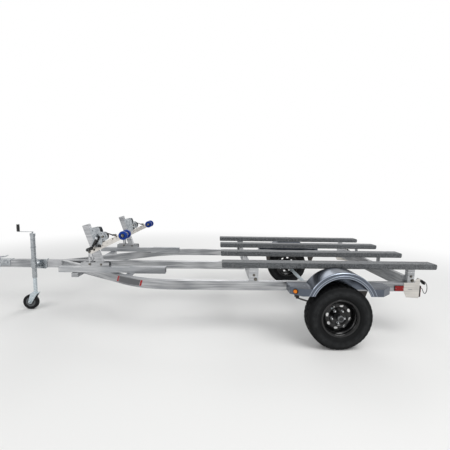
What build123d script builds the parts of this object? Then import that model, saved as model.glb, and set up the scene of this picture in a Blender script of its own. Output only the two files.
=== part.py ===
from build123d import *
import os
from math import acos, atan2, cos, degrees, radians, sin, sqrt, tan

# Boat trailer for two small watercraft, in millimetres.
# +X points to the rear, -Y to the trailer's left, +Z up, and Z = 0 is the ground.
# Pieces are drawn with X = 0 at the wheel spindles, and moved at the end so that
# the origin lies under the middle of the trailer's length.

# Wheels
tyre_radius = 345.0
tyre_width = 205.0
tyre_wall = 11.0
tread_width = 142.0
shoulder_radius = 15.0
sidewall_radius = 24.0
rim_radius = 190.5
rim_flange_radius = 206.0
rim_width = 160.0
rim_wall = 4.0
rim_well_depth = 22.0
rim_bore_radius = 41.0
disc_thickness = 5.0
disc_crown = 20.0
window_count = 8
window_first_angle = 34.0
window_angle = 30.0
window_inner_radius = 101.0
window_outer_radius = 147.0
window_corner = 8.0
lug_count = 5
lug_first_angle = -90.0
lug_circle_radius = 69.85
stud_radius = 6.4
stud_length = 22.0
stud_clearance = 0.6
hub_radius = 36.0
hub_flange_radius = 84.0
hub_flange_thickness = 12.0
hub_length = 95.0
hub_nose_radius = 34.0
hub_nose_length = 46.0
hub_cap_radius = 31.0
hub_cap_length = 39.0
hub_cap_dish = 6.0
spindle_radius = 17.5
spindle_length = 78.0
running_clearance = 0.05
face_clearance = 2.0

# Axle and springs
axle_radius = 25.5
axle_half_length = 1008.0
spring_width = 45.0
spring_leaf = 6.5
spring_curve_radius = 1050.0
spring_front_x = -385.0
spring_rear_x = 386.0
short_leaf_reaches = (262.0, 150.0)
spring_seat_gap = 4.0
spring_eye_radius = 15.0
hanger_bolt_radius = 8.0
hanger_sheet = 5.0
hanger_side_gap = 1.5
hanger_half_length = 32.0
slipper_front_x = 320.0
slipper_rear_x = 414.0
u_bolt_radius = 5.0
u_bolt_rise = 24.0
clamp_half_length = 48.0
clamp_thickness = 8.0
fit_gap = 0.3

# Frame
rail_width = 51.0
rail_height = 102.0
rail_wall = 4.0
frame_base = 553.0
rail_centre_y = 889.0
rail_bend_x = -2097.0
rail_bend_angle = 33.0
rail_bend_radius = 1100.0
tongue_width = 76.0
tongue_wall = 5.0
tongue_front_x = -4372.0
crossmember_width = 51.0
crossmember_height = 145.0
crossmember_wall = 5.0
crossmember_base = 582.0
front_crossmember_x = -902.0
rear_crossmember_x = 828.0

# Coupler
ball_x = -4594.0
ball_z = 611.0
ball_socket_radius = 25.8
ball_dome_wall = 9.0
coupler_nose_x = -4657.0
coupler_nose_half = 20.0
coupler_rear_x = -4152.0
coupler_wall = 5.0
coupler_base = 577.0
coupler_taper_x = -4402.0
latch_pivot_x = -4344.0
latch_length = 165.0
latch_width = 30.0
latch_wall = 4.0

# Bunks
bunk_width = 140.0
bunk_thickness = 54.0
bunk_length = 2400.0
bunk_front_x = -1237.0
bunk_base = 816.0
outer_bunk_y = 890.0
inner_bunk_y = 296.0
bunk_top_round = 35.0
bunk_low_round = 20.0
bunk_front_round = 10.0
bracket_sheet = 6.0
bracket_hole_radius = 5.5
bracket_hole_drop = 45.0
outer_web_reach = 50.0
inner_plate_half = 38.0
inner_plate_drop = 194.0
inner_flange_ahead = 27.0
inner_flange_behind = 125.0

# Winch beams and stands
stand_y = 611.0
beam_size = 64.0
beam_wall = 4.0
beam_front_x = -3162.0
beam_rear_x = -2162.0
sleeve_wall = 5.5
sleeve_clearance = 0.5
sleeve_bracket_sheet = 12.0
sleeve_bracket_length = 80.0
sleeve_front_x = -2332.0
sleeve_rear_x = -1908.0
outrigger_x = -2972.0
outrigger_width = 76.0
outrigger_height = 51.0
post_foot_x = -2668.0
post_width = 66.0
post_depth = 70.0
post_wall = 4.0
post_lean = 18.7
post_length = 524.0
stand_sheet = 5.0
base_ahead = 231.0
base_behind = 98.0
base_height = 58.0
strut_ahead = 124.0
strut_bar_width = 22.0
strut_foot_gap = 12.0
bow_arm_depth = 63.0
bow_arm_ahead = 122.0
bow_arm_rise = 186.0
bow_axle_behind = 280.0
bow_axle_rise = 389.0
bow_axle_radius = 8.0
bow_axle_head = 13.0
bow_wheel_radius = 51.0
bow_wheel_width = 44.0
bow_wheel_gap = 3.0
arm_hole_radius = 5.0
arm_hole_spacing = 62.0
arm_hole_count = 4
arm_web_start = 170.0
strap_eye_behind = 174.0
strap_eye_hole = 8.0
strap_eye_sheet = 8.0
shackle_length = 32.0
shackle_bolt_radius = 6.0

# Winch, placed on the post: along it from its foot, and out from its rear face
winch_width = 84.0
winch_plate = 4.0
drum_along = 333.0
drum_reach = 116.0
crank_side_angle = 171.0
winch_hole_along = 432.0
winch_hole_reach = 28.0
winch_hole_radius = 7.0
winch_lobe_radius = 30.0
winch_back_start = 262.0
gear_module = 3.0
gear_teeth = 36
pinion_teeth = 12
gear_width = 10.0
gear_side_gap = 1.5
gear_dish = 4.0
drum_core_radius = 22.0
drum_flange_radius = 50.0
drum_flange_thickness = 4.0
drum_shaft_radius = 9.0
crank_shaft_radius = 8.0
shaft_overhang = 7.0
strap_radius = 43.0
strap_width = 46.0
strap_thickness = 2.5
ratchet_teeth = 12
ratchet_tip_radius = 24.0
ratchet_root_radius = 18.0
ratchet_thickness = 6.0
pawl_length = 38.0
pawl_boss_radius = 9.0
pawl_tail = 52.0
crank_arm_length = 150.0
crank_arm_angle = 253.0
crank_arm_half_width = 13.0
crank_arm_sheet = 6.0
crank_offset = 30.0
crank_grip_length = 112.0
crank_grip_radius = 16.5

# Fenders
fender_outer_y = 1213.0
fender_width = 230.0
fender_sheet = 4.0
fender_arch_radius = 378.0
fender_opening_radius = 320.0
fender_arch_z = 466.0
fender_corner_radius = 16.0
fender_hem_radius = 4.5
bead_inset = 36.0
bead_radius = 6.5
bead_height = 3.0
skirt_base = 594.0
skirt_height = 77.0
skirt_corner_x = 418.0
skirt_turn_x = 532.0
skirt_turn_y = 1125.0
fender_bracket_x = 470.0
fender_bracket_length = 50.0
fender_bracket_sheet = 6.0
fender_bracket_height = 44.0

# Lamps
lamp_plate_sheet = 4.0
lamp_plate_front_x = 824.0
lamp_plate_rear_x = 1008.0
lamp_plate_base = 475.0
lamp_plate_width = 210.0
lamp_plate_ear = 45.0
ear_length = 34.0
tail_lamp_width = 164.0
tail_lamp_height = 138.0
tail_lamp_depth = 39.0
tail_lamp_round = 14.0
tail_lamp_inset = 11.0
red_marker_length = 98.0
red_marker_height = 58.0
amber_marker_share = 0.56
marker_lamp_radius = 19.0
marker_lamp_depth = 12.0
lead_radius = 3.5

# Jack
jack_x = -3762.0
jack_y = 145.0
jack_pivot_z = 610.0
jack_tube_radius = 28.5
jack_tube_below = 170.0
jack_tube_above = 400.0
jack_collar_rise = 235.0
jack_head_radius = 32.5
jack_head_height = 38.0
jack_leg_radius = 23.0
jack_leg_clearance = 0.5
jack_leg_above = 120.0
jack_plate_radius = 44.0
jack_plate_sheet = 8.0
jack_plate_half_length = 110.0
jack_boss_radius = 40.0
jack_boss_length = 26.0
jack_bolt_offset = 82.0
jack_bolt_radius = 5.0
jack_wheel_radius = 101.5
jack_wheel_width = 44.0
jack_wheel_trail = 65.0
jack_axle_radius = 8.0
jack_pin_radius = 12.0
jack_crank_arm = 195.0
jack_crank_half_width = 11.0
jack_grip_length = 96.0
jack_fork_sheet = 5.0
jack_fork_gap = 6.0

# Worked out from the sizes above
spindle_z = tyre_radius
wheel_y = axle_half_length + face_clearance + hub_length
frame_top = frame_base + rail_height
rail_outer_y = rail_centre_y + rail_width / 2
rail_inner_y = rail_centre_y - rail_width / 2
bunk_rear_x = bunk_front_x + bunk_length
bunk_top = bunk_base + bunk_thickness
sleeve_size = beam_size + 2 * (sleeve_wall + sleeve_clearance)
beam_base = frame_top + sleeve_wall + sleeve_clearance
beam_top = beam_base + beam_size
post_foot_z = beam_top + stand_sheet
stand_half_width = post_width / 2 + stand_sheet
strap_eye_x = post_foot_x + strap_eye_behind
bow_arm_front = (post_foot_x - bow_arm_ahead, beam_top + bow_arm_rise)
bow_axle = (post_foot_x + bow_axle_behind, beam_top + bow_axle_rise)
fender_inner_y = fender_outer_y - fender_width
skirt_top = skirt_base + skirt_height
rail_rear_x = lamp_plate_rear_x - lamp_plate_sheet
spring_base_z = spindle_z + axle_radius + spring_seat_gap
spring_curve_z = spring_base_z + spring_leaf * (len(short_leaf_reaches) + 1) + spring_curve_radius
gear_spacing = gear_module * (gear_teeth + pinion_teeth) / 2
centre_shift = -(coupler_nose_x + bunk_rear_x) / 2


def block(x, y, z):
    """Box between two values along each axis."""
    size = [high - low for low, high in (x, y, z)]
    middle = [(low + high) / 2 for low, high in (x, y, z)]
    return Pos(*middle) * Box(*size)


def along_y(profile, y_from, y_to):
    """Solid of a profile drawn in X and Z, from one Y to another."""
    plane = Plane(origin=(0, y_from, 0), x_dir=(1, 0, 0), z_dir=(0, -1, 0))
    return extrude(plane * profile, amount=y_to - y_from, dir=(0, 1, 0))


def along_x(profile, x_from, x_to):
    """Solid of a profile drawn in Y and Z, from one X to another."""
    plane = Plane(origin=(x_from, 0, 0), x_dir=(0, 1, 0), z_dir=(1, 0, 0))
    return extrude(plane * profile, amount=x_to - x_from, dir=(1, 0, 0))


def along_z(profile, z_from, z_to):
    """Solid of a profile drawn in X and Y, from one Z to another."""
    return extrude(Plane.XY.offset(z_from) * profile, amount=z_to - z_from, dir=(0, 0, 1))


def polygon(*points):
    """Face inside straight edges through the points."""
    return make_face(Polyline(*points, close=True))


def rounded(profile, radius, *corners):
    """The profile with the corners at these points rounded."""
    chosen = [vertex for vertex in profile.vertices()
              if any(abs(vertex.X - x) + abs(vertex.Y - y) < 0.01 for x, y in corners)]
    return fillet(chosen, radius)


def rod_y(radius, x, z, y_from, y_to):
    """Round bar along Y."""
    return along_y(Pos(x, z) * Circle(radius), y_from, y_to)


def tube_section(width, height, wall, middle=(0, 0)):
    """Rectangular tube's section."""
    return Pos(*middle) * (Rectangle(width, height) - Rectangle(width - 2 * wall, height - 2 * wall))


def other_side(shape):
    """The same piece on the trailer's right side, from the one on its left."""
    return mirror(shape, about=Plane.XZ)


def group(*shapes):
    """Solids that share a node."""
    return Compound([solid for shape in shapes for solid in shape.solids()])


def both_sides(shape):
    """A left piece with its right one, as one node."""
    return group(shape, other_side(shape))


def turned(profile, x, z):
    """Solid of revolution about a line along Y, from a profile drawn in Y and radius."""
    plane = Plane(origin=(x, 0, z), x_dir=(0, 1, 0), z_dir=(1, 0, 0))
    return revolve(plane * profile, axis=Axis((x, 0, z), (0, 1, 0)))


def hull_of_two(first, second, radius):
    """Flat link with a round end about each point."""
    length = sqrt((second[0] - first[0]) ** 2 + (second[1] - first[1]) ** 2)
    turn = degrees(atan2(second[1] - first[1], second[0] - first[0]))
    middle = ((first[0] + second[0]) / 2, (first[1] + second[1]) / 2)
    bar = Pos(*middle) * Rot(0, 0, turn) * Rectangle(length, 2 * radius)
    return bar + Pos(*first) * Circle(radius) + Pos(*second) * Circle(radius)


def on_circle(centre, radius, angle):
    """Point at an angle in degrees on a circle."""
    return (centre[0] + radius * cos(radians(angle)), centre[1] + radius * sin(radians(angle)))


# Frame pieces

def make_tongue():
    section = tube_section(tongue_width, rail_height, tongue_wall, (0, frame_base + rail_height / 2))
    return along_x(section, tongue_front_x, front_crossmember_x)


def swept_rail(width, height):
    """Left rail's path filled with a plain section: straight beside the bunk, bent in to the tongue."""
    reach = (rail_centre_y + tongue_width) / sin(radians(rail_bend_angle))
    front = (rail_bend_x - reach * cos(radians(rail_bend_angle)),
             -rail_centre_y + reach * sin(radians(rail_bend_angle)))
    path = FilletPolyline(
        (rail_rear_x, -rail_centre_y), (rail_bend_x, -rail_centre_y), front,
        radius=rail_bend_radius)
    middle_z = frame_base + rail_height / 2
    start = Plane(origin=(rail_rear_x, -rail_centre_y, middle_z), x_dir=(0, 1, 0), z_dir=(-1, 0, 0))
    beside_tongue = block((tongue_front_x, bunk_rear_x), (-tongue_width / 2, rail_centre_y * 2),
                          (0, frame_top * 2))
    return sweep(start * Rectangle(width, height), path=Pos(0, 0, middle_z) * path) - beside_tongue


def make_rail():
    """Left rail, an open tube."""
    hollow = swept_rail(rail_width - 2 * rail_wall, rail_height - 2 * rail_wall)
    return swept_rail(rail_width, rail_height) - hollow


def make_crossmember(front_face_x):
    section = tube_section(crossmember_width, crossmember_height, crossmember_wall,
                           (front_face_x + crossmember_width / 2, crossmember_base + crossmember_height / 2))
    return along_y(section, -rail_inner_y, rail_inner_y)


def make_outriggers():
    """Stub tubes from the rails out to the winch beams' front ends."""
    lean = tan(radians(rail_bend_angle))
    section = tube_section(outrigger_width, outrigger_height, rail_wall,
                           (outrigger_x, frame_top - outrigger_height / 2))
    stub = along_y(section, -stand_y - sleeve_size / 2, -tongue_width / 2)
    slant = rail_width / 2 / cos(radians(rail_bend_angle))
    near_x = outrigger_x - outrigger_width
    far_x = outrigger_x + outrigger_width

    def rail_face_y(x):
        return -rail_centre_y + (rail_bend_x - x) * lean - slant

    inside_rail = along_z(polygon((near_x, rail_face_y(near_x)), (far_x, rail_face_y(far_x)),
                                  (far_x, 0), (near_x, 0)), 0, frame_top * 2)
    return both_sides(stub - inside_rail)


# Axle and springs

def make_axle_tube():
    """Straight round axle with a spindle at each end."""
    spindle_end = axle_half_length + face_clearance + spindle_length
    return (rod_y(axle_radius, 0, spindle_z, -axle_half_length, axle_half_length)
            + rod_y(spindle_radius, 0, spindle_z, -spindle_end, spindle_end))


def leaf_z(x, layer=0):
    """Height of a leaf's lower side at x, layer 0 being the top one."""
    return spring_curve_z - sqrt((spring_curve_radius + spring_leaf * (layer + 1)) ** 2 - x ** 2)


def spring_eye_z():
    return leaf_z(spring_front_x) + spring_eye_radius


def make_leaf_springs():
    """Leaf packs over the axle, each with its eye, clamp plate and two U-bolts."""
    pack = Sketch()
    reaches = [(spring_front_x, spring_rear_x)] + [(-reach, reach) for reach in short_leaf_reaches]
    for layer, (front, rear) in enumerate(reaches):
        outside = spring_curve_radius + spring_leaf * (layer + 1)
        leaf = Circle(outside) - Circle(outside - spring_leaf)
        leaf = Pos(0, spring_curve_z) * leaf & Pos((front + rear) / 2, spindle_z) * Rectangle(
            rear - front, spring_curve_radius / 2)
        pack += leaf
    eye = (spring_front_x, spring_eye_z())
    pack += Pos(*eye) * Circle(spring_eye_radius)
    seat_half = axle_radius + u_bolt_radius
    pack += Pos(0, spring_base_z) * Rectangle(2 * seat_half, 2 * (spring_seat_gap + axle_radius / 2))
    pack -= Pos(*eye) * Circle(hanger_bolt_radius + fit_gap)
    pack -= Pos(0, spindle_z) * Circle(axle_radius + fit_gap)
    spring = along_y(pack, -rail_centre_y - spring_width / 2, -rail_centre_y + spring_width / 2)
    clamp_half = spring_width / 2 + 2 * u_bolt_radius + fit_gap + clamp_thickness / 2
    clamp_z = leaf_z(0) + spring_leaf
    spring += block((-clamp_half_length, clamp_half_length),
                    (-rail_centre_y - clamp_half, -rail_centre_y + clamp_half), (clamp_z, clamp_z + clamp_thickness))
    bend_radius = axle_radius + fit_gap + u_bolt_radius
    for side in (-1, 1):
        y = -rail_centre_y + side * (spring_width / 2 + fit_gap + u_bolt_radius)
        bend = Pos(0, y, spindle_z) * Rot(90, 0, 0) * Torus(bend_radius, u_bolt_radius)
        reach = bend_radius + u_bolt_radius
        spring += bend & block((-reach, reach), (y - reach, y + reach), (spindle_z - reach, spindle_z))
        for x in (-bend_radius, bend_radius):
            spring += along_z(Pos(x, y) * Circle(u_bolt_radius), spindle_z, clamp_z + u_bolt_rise)
    return both_sides(spring)


def hanger(x_from, x_to, bolt_x, bolt_z):
    """Channel under the left rail with a bolt through its cheeks."""
    inner = spring_width / 2 + hanger_side_gap
    outer = inner + hanger_sheet
    low = bolt_z - spring_eye_radius
    cheek = polygon((x_from, frame_base), (x_to, frame_base), (bolt_x + hanger_half_length / 2, low),
                    (bolt_x - hanger_half_length / 2, low))
    channel = along_y(cheek, -rail_centre_y - outer, -rail_centre_y - inner)
    channel += along_y(cheek, -rail_centre_y + inner, -rail_centre_y + outer)
    channel += block((x_from, x_to), (-rail_centre_y - outer, -rail_centre_y + outer),
                     (frame_base - hanger_sheet, frame_base))
    return channel + rod_y(hanger_bolt_radius, bolt_x, bolt_z, -rail_centre_y - outer - hanger_sheet,
                           -rail_centre_y + outer + hanger_sheet)


def make_spring_hangers():
    """Front hangers on the springs' eyes and rear ones that the leaves slide under."""
    front = hanger(spring_front_x - hanger_half_length, spring_front_x + hanger_half_length, spring_front_x,
                   spring_eye_z())
    bolt_x = (slipper_front_x + slipper_rear_x) / 2
    bolt_z = spring_curve_z - sqrt((spring_curve_radius - 2 * fit_gap - hanger_bolt_radius) ** 2 - bolt_x ** 2)
    rear = hanger(slipper_front_x, slipper_rear_x, bolt_x, bolt_z)
    return group(both_sides(front), both_sides(rear))


# Wheels

def make_hub():
    """Left hub: barrel on the spindle, flange with studs, nose through the rim and a dished cap."""
    bore = spindle_radius + running_clearance
    bore_end = spindle_length + face_clearance - hub_length
    cap_end = hub_nose_length + hub_cap_length
    dish = hub_cap_radius / 2
    # distance out from the wheel's middle plane, radius
    outline = [
        (-hub_length, bore), (-hub_length, hub_radius), (-hub_flange_thickness, hub_radius),
        (-hub_flange_thickness, hub_flange_radius), (0, hub_flange_radius), (0, rim_bore_radius - stud_clearance),
        (2 * disc_thickness, rim_bore_radius - stud_clearance), (2 * disc_thickness, hub_nose_radius),
        (hub_nose_length, hub_nose_radius), (hub_nose_length, hub_cap_radius), (cap_end, hub_cap_radius),
        (cap_end, dish), (cap_end - hub_cap_dish, dish - 2), (cap_end - hub_cap_dish, 0), (bore_end, 0),
        (bore_end, bore)]
    section = polygon(*[(-wheel_y - out, radius) for out, radius in outline])
    section = rounded(section, hub_cap_dish, (-wheel_y - cap_end, hub_cap_radius))
    hub = turned(section, 0, spindle_z)
    for index in range(lug_count):
        x, z = on_circle((0, spindle_z), lug_circle_radius, lug_first_angle + 360 * index / lug_count)
        hub += rod_y(stud_radius, x, z, -wheel_y - stud_length, -wheel_y)
    return hub


def make_rim():
    """Left steel rim: drop-centre barrel, and a crowned disc with windows between its spokes."""
    half = rim_width / 2
    well = rim_radius - rim_well_depth
    # distance out from the wheel's middle plane, radius of the barrel's outer side
    outside = [(-half, rim_flange_radius), (8 - half, rim_flange_radius), (12 - half, rim_radius),
               (34 - half, rim_radius), (50 - half, well), (half - 60, well), (half - 38, rim_radius),
               (half - 12, rim_radius), (half - 8, rim_flange_radius), (half, rim_flange_radius)]
    inside = [(half, rim_radius - rim_wall), (half - 40, rim_radius - rim_wall), (half - 62, well - rim_wall),
              (52 - half, well - rim_wall), (36 - half, rim_radius - rim_wall), (-half, rim_radius - rim_wall)]
    barrel = turned(polygon(*[(-wheel_y - out, radius) for out, radius in outside + inside]), 0, spindle_z)
    seat = hub_flange_radius + 2
    crest = (window_inner_radius + window_outer_radius) / 2
    inner_side = [(0, rim_bore_radius), (0, seat), (disc_crown, crest - 18), (disc_crown, crest + 6),
                  (0, well - rim_wall)]
    outer_side = [(out + disc_thickness, radius) for out, radius in reversed(inner_side)]
    disc = turned(polygon(*[(-wheel_y - out, radius) for out, radius in inner_side + outer_side]), 0, spindle_z)
    rim = barrel + disc
    sector = polygon((0, 0), on_circle((0, 0), 2 * window_outer_radius, -window_angle / 2),
                     on_circle((0, 0), 2 * window_outer_radius, window_angle / 2))
    window = (Circle(window_outer_radius) - Circle(window_inner_radius)) & sector
    window = fillet(window.vertices(), window_corner)
    for index in range(window_count):
        turn = window_first_angle + 360 * index / window_count
        rim -= along_y(Pos(0, spindle_z) * Rot(0, 0, turn) * window, -wheel_y - half, -wheel_y + disc_thickness)
    for index in range(lug_count):
        x, z = on_circle((0, spindle_z), lug_circle_radius, lug_first_angle + 360 * index / lug_count)
        rim -= rod_y(stud_radius + stud_clearance, x, z, -wheel_y - half, -wheel_y + disc_thickness)
    return rim


def make_tyre():
    """Left tyre: hollow carcass with square shoulders and bulged walls, down to the rim's beads."""
    half = tyre_width / 2
    shoulder = tread_width / 2
    bead = rim_width / 2 - 12.5
    wall = tyre_wall
    bulge_high = tyre_radius - 56
    bulge_low = rim_flange_radius + 46
    outside = [(shoulder, tyre_radius), (half, bulge_high), (half, bulge_low), (bead + 16, rim_flange_radius + 8),
               (bead, rim_flange_radius + 2), (bead, rim_radius)]
    inside = [(bead - wall, rim_radius), (bead - wall + 4, rim_flange_radius + 12), (half - wall, bulge_low),
              (half - wall, bulge_high), (shoulder - wall, tyre_radius - 1.3 * wall)]
    right_half = outside + inside
    left_half = [(-y, radius) for y, radius in reversed(right_half)]
    section = polygon(*right_half, *left_half)
    section = rounded(section, shoulder_radius, outside[0], left_half[-1])
    section = rounded(section, sidewall_radius, outside[1], outside[2], left_half[-2], left_half[-3])
    return turned(Pos(-wheel_y, 0) * section, 0, spindle_z)


def make_fender():
    """Left fender: arch over the wheel with a rolled hem and a bead, boxed steps, and brackets to the rail."""
    outer = -fender_outer_y + bead_height
    inner = -fender_inner_y
    thin = fender_sheet
    top = fender_arch_radius
    steps_outline = polygon(
        (-skirt_corner_x, outer), (skirt_corner_x, outer), (skirt_turn_x, -skirt_turn_y),
        (skirt_turn_x, inner), (-skirt_turn_x, inner), (-skirt_turn_x, -skirt_turn_y))
    steps = along_z(steps_outline, skirt_base, skirt_top)
    steps -= along_z(offset(steps_outline, amount=-thin), 0, skirt_top - thin)
    wheel_way = rod_y(top - thin, 0, fender_arch_z, outer + thin, inner - thin)
    opening = rod_y(fender_opening_radius, 0, fender_arch_z, outer - top, inner - thin)
    steps = steps - wheel_way - opening
    section = polygon(
        (outer, fender_opening_radius), (outer, top), (inner, top), (inner, top - thin),
        (outer + thin, top - thin), (outer + thin, fender_opening_radius))
    section = rounded(section, fender_corner_radius, (outer, top))
    section = rounded(section, fender_corner_radius - thin, (outer + thin, top - thin))
    section += Pos(outer + bead_radius - bead_height, top - bead_inset) * Circle(bead_radius)
    section += Pos(outer + fender_hem_radius, fender_opening_radius) * Circle(fender_hem_radius)
    arch = turned(section, 0, fender_arch_z)
    arch &= block((-2 * top, 2 * top), (2 * outer, inner), (skirt_base, fender_arch_z + 2 * top))
    side_wall = rod_y(top - thin / 4, 0, fender_arch_z, inner - thin, inner)
    side_wall &= block((-top, top), (inner - thin, inner), (skirt_top - thin, fender_arch_z + top))
    fender = steps + arch + side_wall
    low = skirt_base + fender_bracket_sheet
    for x in (-fender_bracket_x, fender_bracket_x):
        ends = (x - fender_bracket_length / 2, x + fender_bracket_length / 2)
        fender += block(ends, (inner, -rail_outer_y), (low, low + fender_bracket_sheet))
        fender += block(ends, (-rail_outer_y - fender_bracket_sheet, -rail_outer_y),
                        (low, low + fender_bracket_height))
    return fender


# Bunks and their brackets

def make_bunk(y):
    """Board with its carpet, its ends rounded."""
    profile = Pos((bunk_front_x + bunk_rear_x) / 2, (bunk_base + bunk_top) / 2) * Rectangle(
        bunk_length, bunk_thickness)
    profile = rounded(profile, bunk_top_round, (bunk_rear_x, bunk_top))
    profile = rounded(profile, bunk_low_round - 2, (bunk_rear_x, bunk_base))
    profile = rounded(profile, bunk_front_round, (bunk_front_x, bunk_top), (bunk_front_x, bunk_base))
    return along_y(profile, y - bunk_width / 2, y + bunk_width / 2)


# outer brackets: front and rear edge of the plate, X of the web's front face, front and rear edge of the flange
front_outer_bracket = (-932.0, -832.0, -932.0, -944.0, -807.0)
rear_outer_bracket = (863.0, 940.0, 863.0, 836.0, 993.0)


def outer_bracket(plate_front, plate_rear, web_front, flange_front, flange_rear):
    """Upright angle on the left rail's top, with a foot and a flange under the outer bunk."""
    near = -rail_outer_y
    sheet = bracket_sheet
    upright = block((plate_front, plate_rear), (near, near + sheet), (frame_top, bunk_base))
    upright += block((web_front, web_front + sheet), (near, near + outer_web_reach), (frame_top + sheet, bunk_base))
    upright += block((plate_front, plate_rear), (near, near + rail_width), (frame_top, frame_top + sheet))
    upright += block((flange_front, flange_rear), (near - sheet, near + outer_web_reach), (bunk_base - sheet, bunk_base))
    hole_x = (plate_front + plate_rear) / 2
    for drop in (bracket_hole_drop, 2 * bracket_hole_drop):
        upright -= rod_y(bracket_hole_radius, hole_x, bunk_base - drop, near - sheet, near + 2 * sheet)
    return upright


def inner_bracket(plate_front, direction):
    """Plate on a cross-member's face with a flange under the inner bunk, direction -1 facing forward."""
    y = (-inner_bunk_y - inner_plate_half, -inner_bunk_y + inner_plate_half)
    plate = block((plate_front, plate_front + bracket_sheet), y, (bunk_base - inner_plate_drop, bunk_base))
    ends = sorted((plate_front + direction * inner_flange_ahead, plate_front - direction * inner_flange_behind))
    return plate + block(ends, y, (bunk_base - bracket_sheet, bunk_base))


def make_front_bunk_brackets():
    inner = inner_bracket(front_crossmember_x - bracket_sheet, -1)
    return group(both_sides(outer_bracket(*front_outer_bracket)), both_sides(inner))


def make_rear_bunk_brackets():
    inner = inner_bracket(rear_crossmember_x + crossmember_width, 1)
    return group(both_sides(outer_bracket(*rear_outer_bracket)), both_sides(inner))


# Winch beams and stands, each drawn about the left stand's middle plane

def make_sleeves():
    """Short tubes that hold the winch beams' rear ends, each with a bracket to its rail."""
    section = tube_section(sleeve_size, sleeve_size, sleeve_wall, (-stand_y, frame_top + sleeve_size / 2))
    sleeve = along_x(section, sleeve_front_x, sleeve_rear_x)
    bracket_front = sleeve_front_x - 30
    bracket = block((bracket_front, bracket_front + sleeve_bracket_length), (-rail_centre_y, -stand_y + 20),
                    (frame_top - sleeve_bracket_sheet, frame_top))
    bracket -= swept_rail(rail_width, rail_height)
    bracket = bracket.solids().sort_by(SortBy.VOLUME)[-1]
    return both_sides(sleeve + bracket)


def make_beam():
    section = tube_section(beam_size, beam_size, beam_wall, (-stand_y, beam_base + beam_size / 2))
    return along_x(section, beam_front_x, beam_rear_x)


def post_point(along, across=0.0):
    """X and Z of a point on the leaning post, from the middle of its foot."""
    lean = radians(post_lean)
    return (post_foot_x - along * sin(lean) + across * cos(lean),
            post_foot_z + along * cos(lean) + across * sin(lean))


def post_profile(half_depth, start, end):
    return polygon(post_point(start, -half_depth), post_point(start, half_depth),
                   post_point(end, half_depth), post_point(end, -half_depth))


def make_stand():
    """Base channel, leaning post and front struts of the left winch stand."""
    outer = stand_half_width
    base_front = post_foot_x - base_ahead
    base_rear = post_foot_x + base_behind
    side = Pos((base_front + base_rear) / 2, beam_top + base_height / 2) * Rectangle(
        base_rear - base_front, base_height)
    side = rounded(side, base_height / 4, (base_front, beam_top + base_height), (base_rear, beam_top + base_height))
    base = along_y(side, -stand_y - outer, -stand_y + outer)
    base -= block((2 * base_front, 0), (-stand_y - post_width / 2, -stand_y + post_width / 2),
                  (post_foot_z, post_foot_z + base_height))
    post = along_y(post_profile(post_depth / 2, -post_depth, post_length),
                   -stand_y - post_width / 2, -stand_y + post_width / 2)
    post -= along_y(post_profile(post_depth / 2 - post_wall, -2 * post_depth, 2 * post_length),
                    -stand_y - post_width / 2 + post_wall, -stand_y + post_width / 2 - post_wall)
    post -= block((2 * post_foot_x, 0), (-2 * stand_y, 0), (0, post_foot_z))
    stand = base + post
    strut_x = post_foot_x - strut_ahead
    for side in (-1, 1):
        face = -stand_y + side * outer
        stand += block((strut_x - strut_bar_width / 2, strut_x + strut_bar_width / 2),
                       sorted((face, face + side * stand_sheet)), (beam_top + strut_foot_gap, bow_arm_front[1]))
    return stand


def make_bow_arm():
    """Left bow arm: two cheeks either side of the post, a web between them, the wheels' axle and a strap eye."""
    front = bow_arm_front
    rise = degrees(atan2(bow_axle[1] - front[1], bow_axle[0] - front[0]))
    length = sqrt((bow_axle[1] - front[1]) ** 2 + (bow_axle[0] - front[0]) ** 2)
    arm_frame = Pos(*front) * Rot(0, 0, rise)
    cheek = arm_frame * Pos(length / 2, 0) * Rectangle(length, bow_arm_depth)
    cheek += Pos(*bow_axle) * Circle(bow_arm_depth / 2)
    for index in range(arm_hole_count):
        cheek -= arm_frame * Pos(length - (index + 1.5) * arm_hole_spacing, 0) * Circle(arm_hole_radius)
    arm = along_y(cheek, -stand_y - stand_half_width, -stand_y - post_width / 2)
    arm += along_y(cheek, -stand_y + post_width / 2, -stand_y + stand_half_width)
    web = arm_frame * Pos((length + arm_web_start) / 2, bow_arm_depth / 2 - stand_sheet / 2) * Rectangle(
        length - arm_web_start, stand_sheet)
    arm += along_y(web, -stand_y - post_width / 2, -stand_y + post_width / 2)
    reach = stand_half_width + bow_wheel_gap + bow_wheel_width + bow_wheel_gap
    arm += rod_y(bow_axle_radius, *bow_axle, -stand_y - reach, -stand_y + reach)
    for side in (-1, 1):
        ends = sorted((-stand_y + side * reach, -stand_y + side * (reach + bow_axle_head / 2)))
        arm += rod_y(bow_axle_head, *bow_axle, *ends)
    eye, root = strap_eye_points()
    lug = hull_of_two(root, eye, 2 * strap_eye_hole) - Pos(*eye) * Circle(strap_eye_hole)
    lug -= arm_frame * Pos(length / 2, -bow_arm_depth) * Rectangle(2 * length, 3 * bow_arm_depth - 2 * stand_sheet)
    return arm + along_y(lug, -stand_y - strap_eye_sheet / 2, -stand_y + strap_eye_sheet / 2)


def strap_eye_points():
    """Centre of the strap eye's hole, and the point of the arm's web that it stands on."""
    slope = (bow_axle[1] - bow_arm_front[1]) / (bow_axle[0] - bow_arm_front[0])
    middle_z = bow_arm_front[1] + (strap_eye_x - bow_arm_front[0]) * slope
    top_z = middle_z + bow_arm_depth / 2 * sqrt(1 + slope ** 2)
    return (strap_eye_x, top_z + 1.6 * strap_eye_hole), (strap_eye_x, top_z - 2 * strap_eye_hole)


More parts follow.
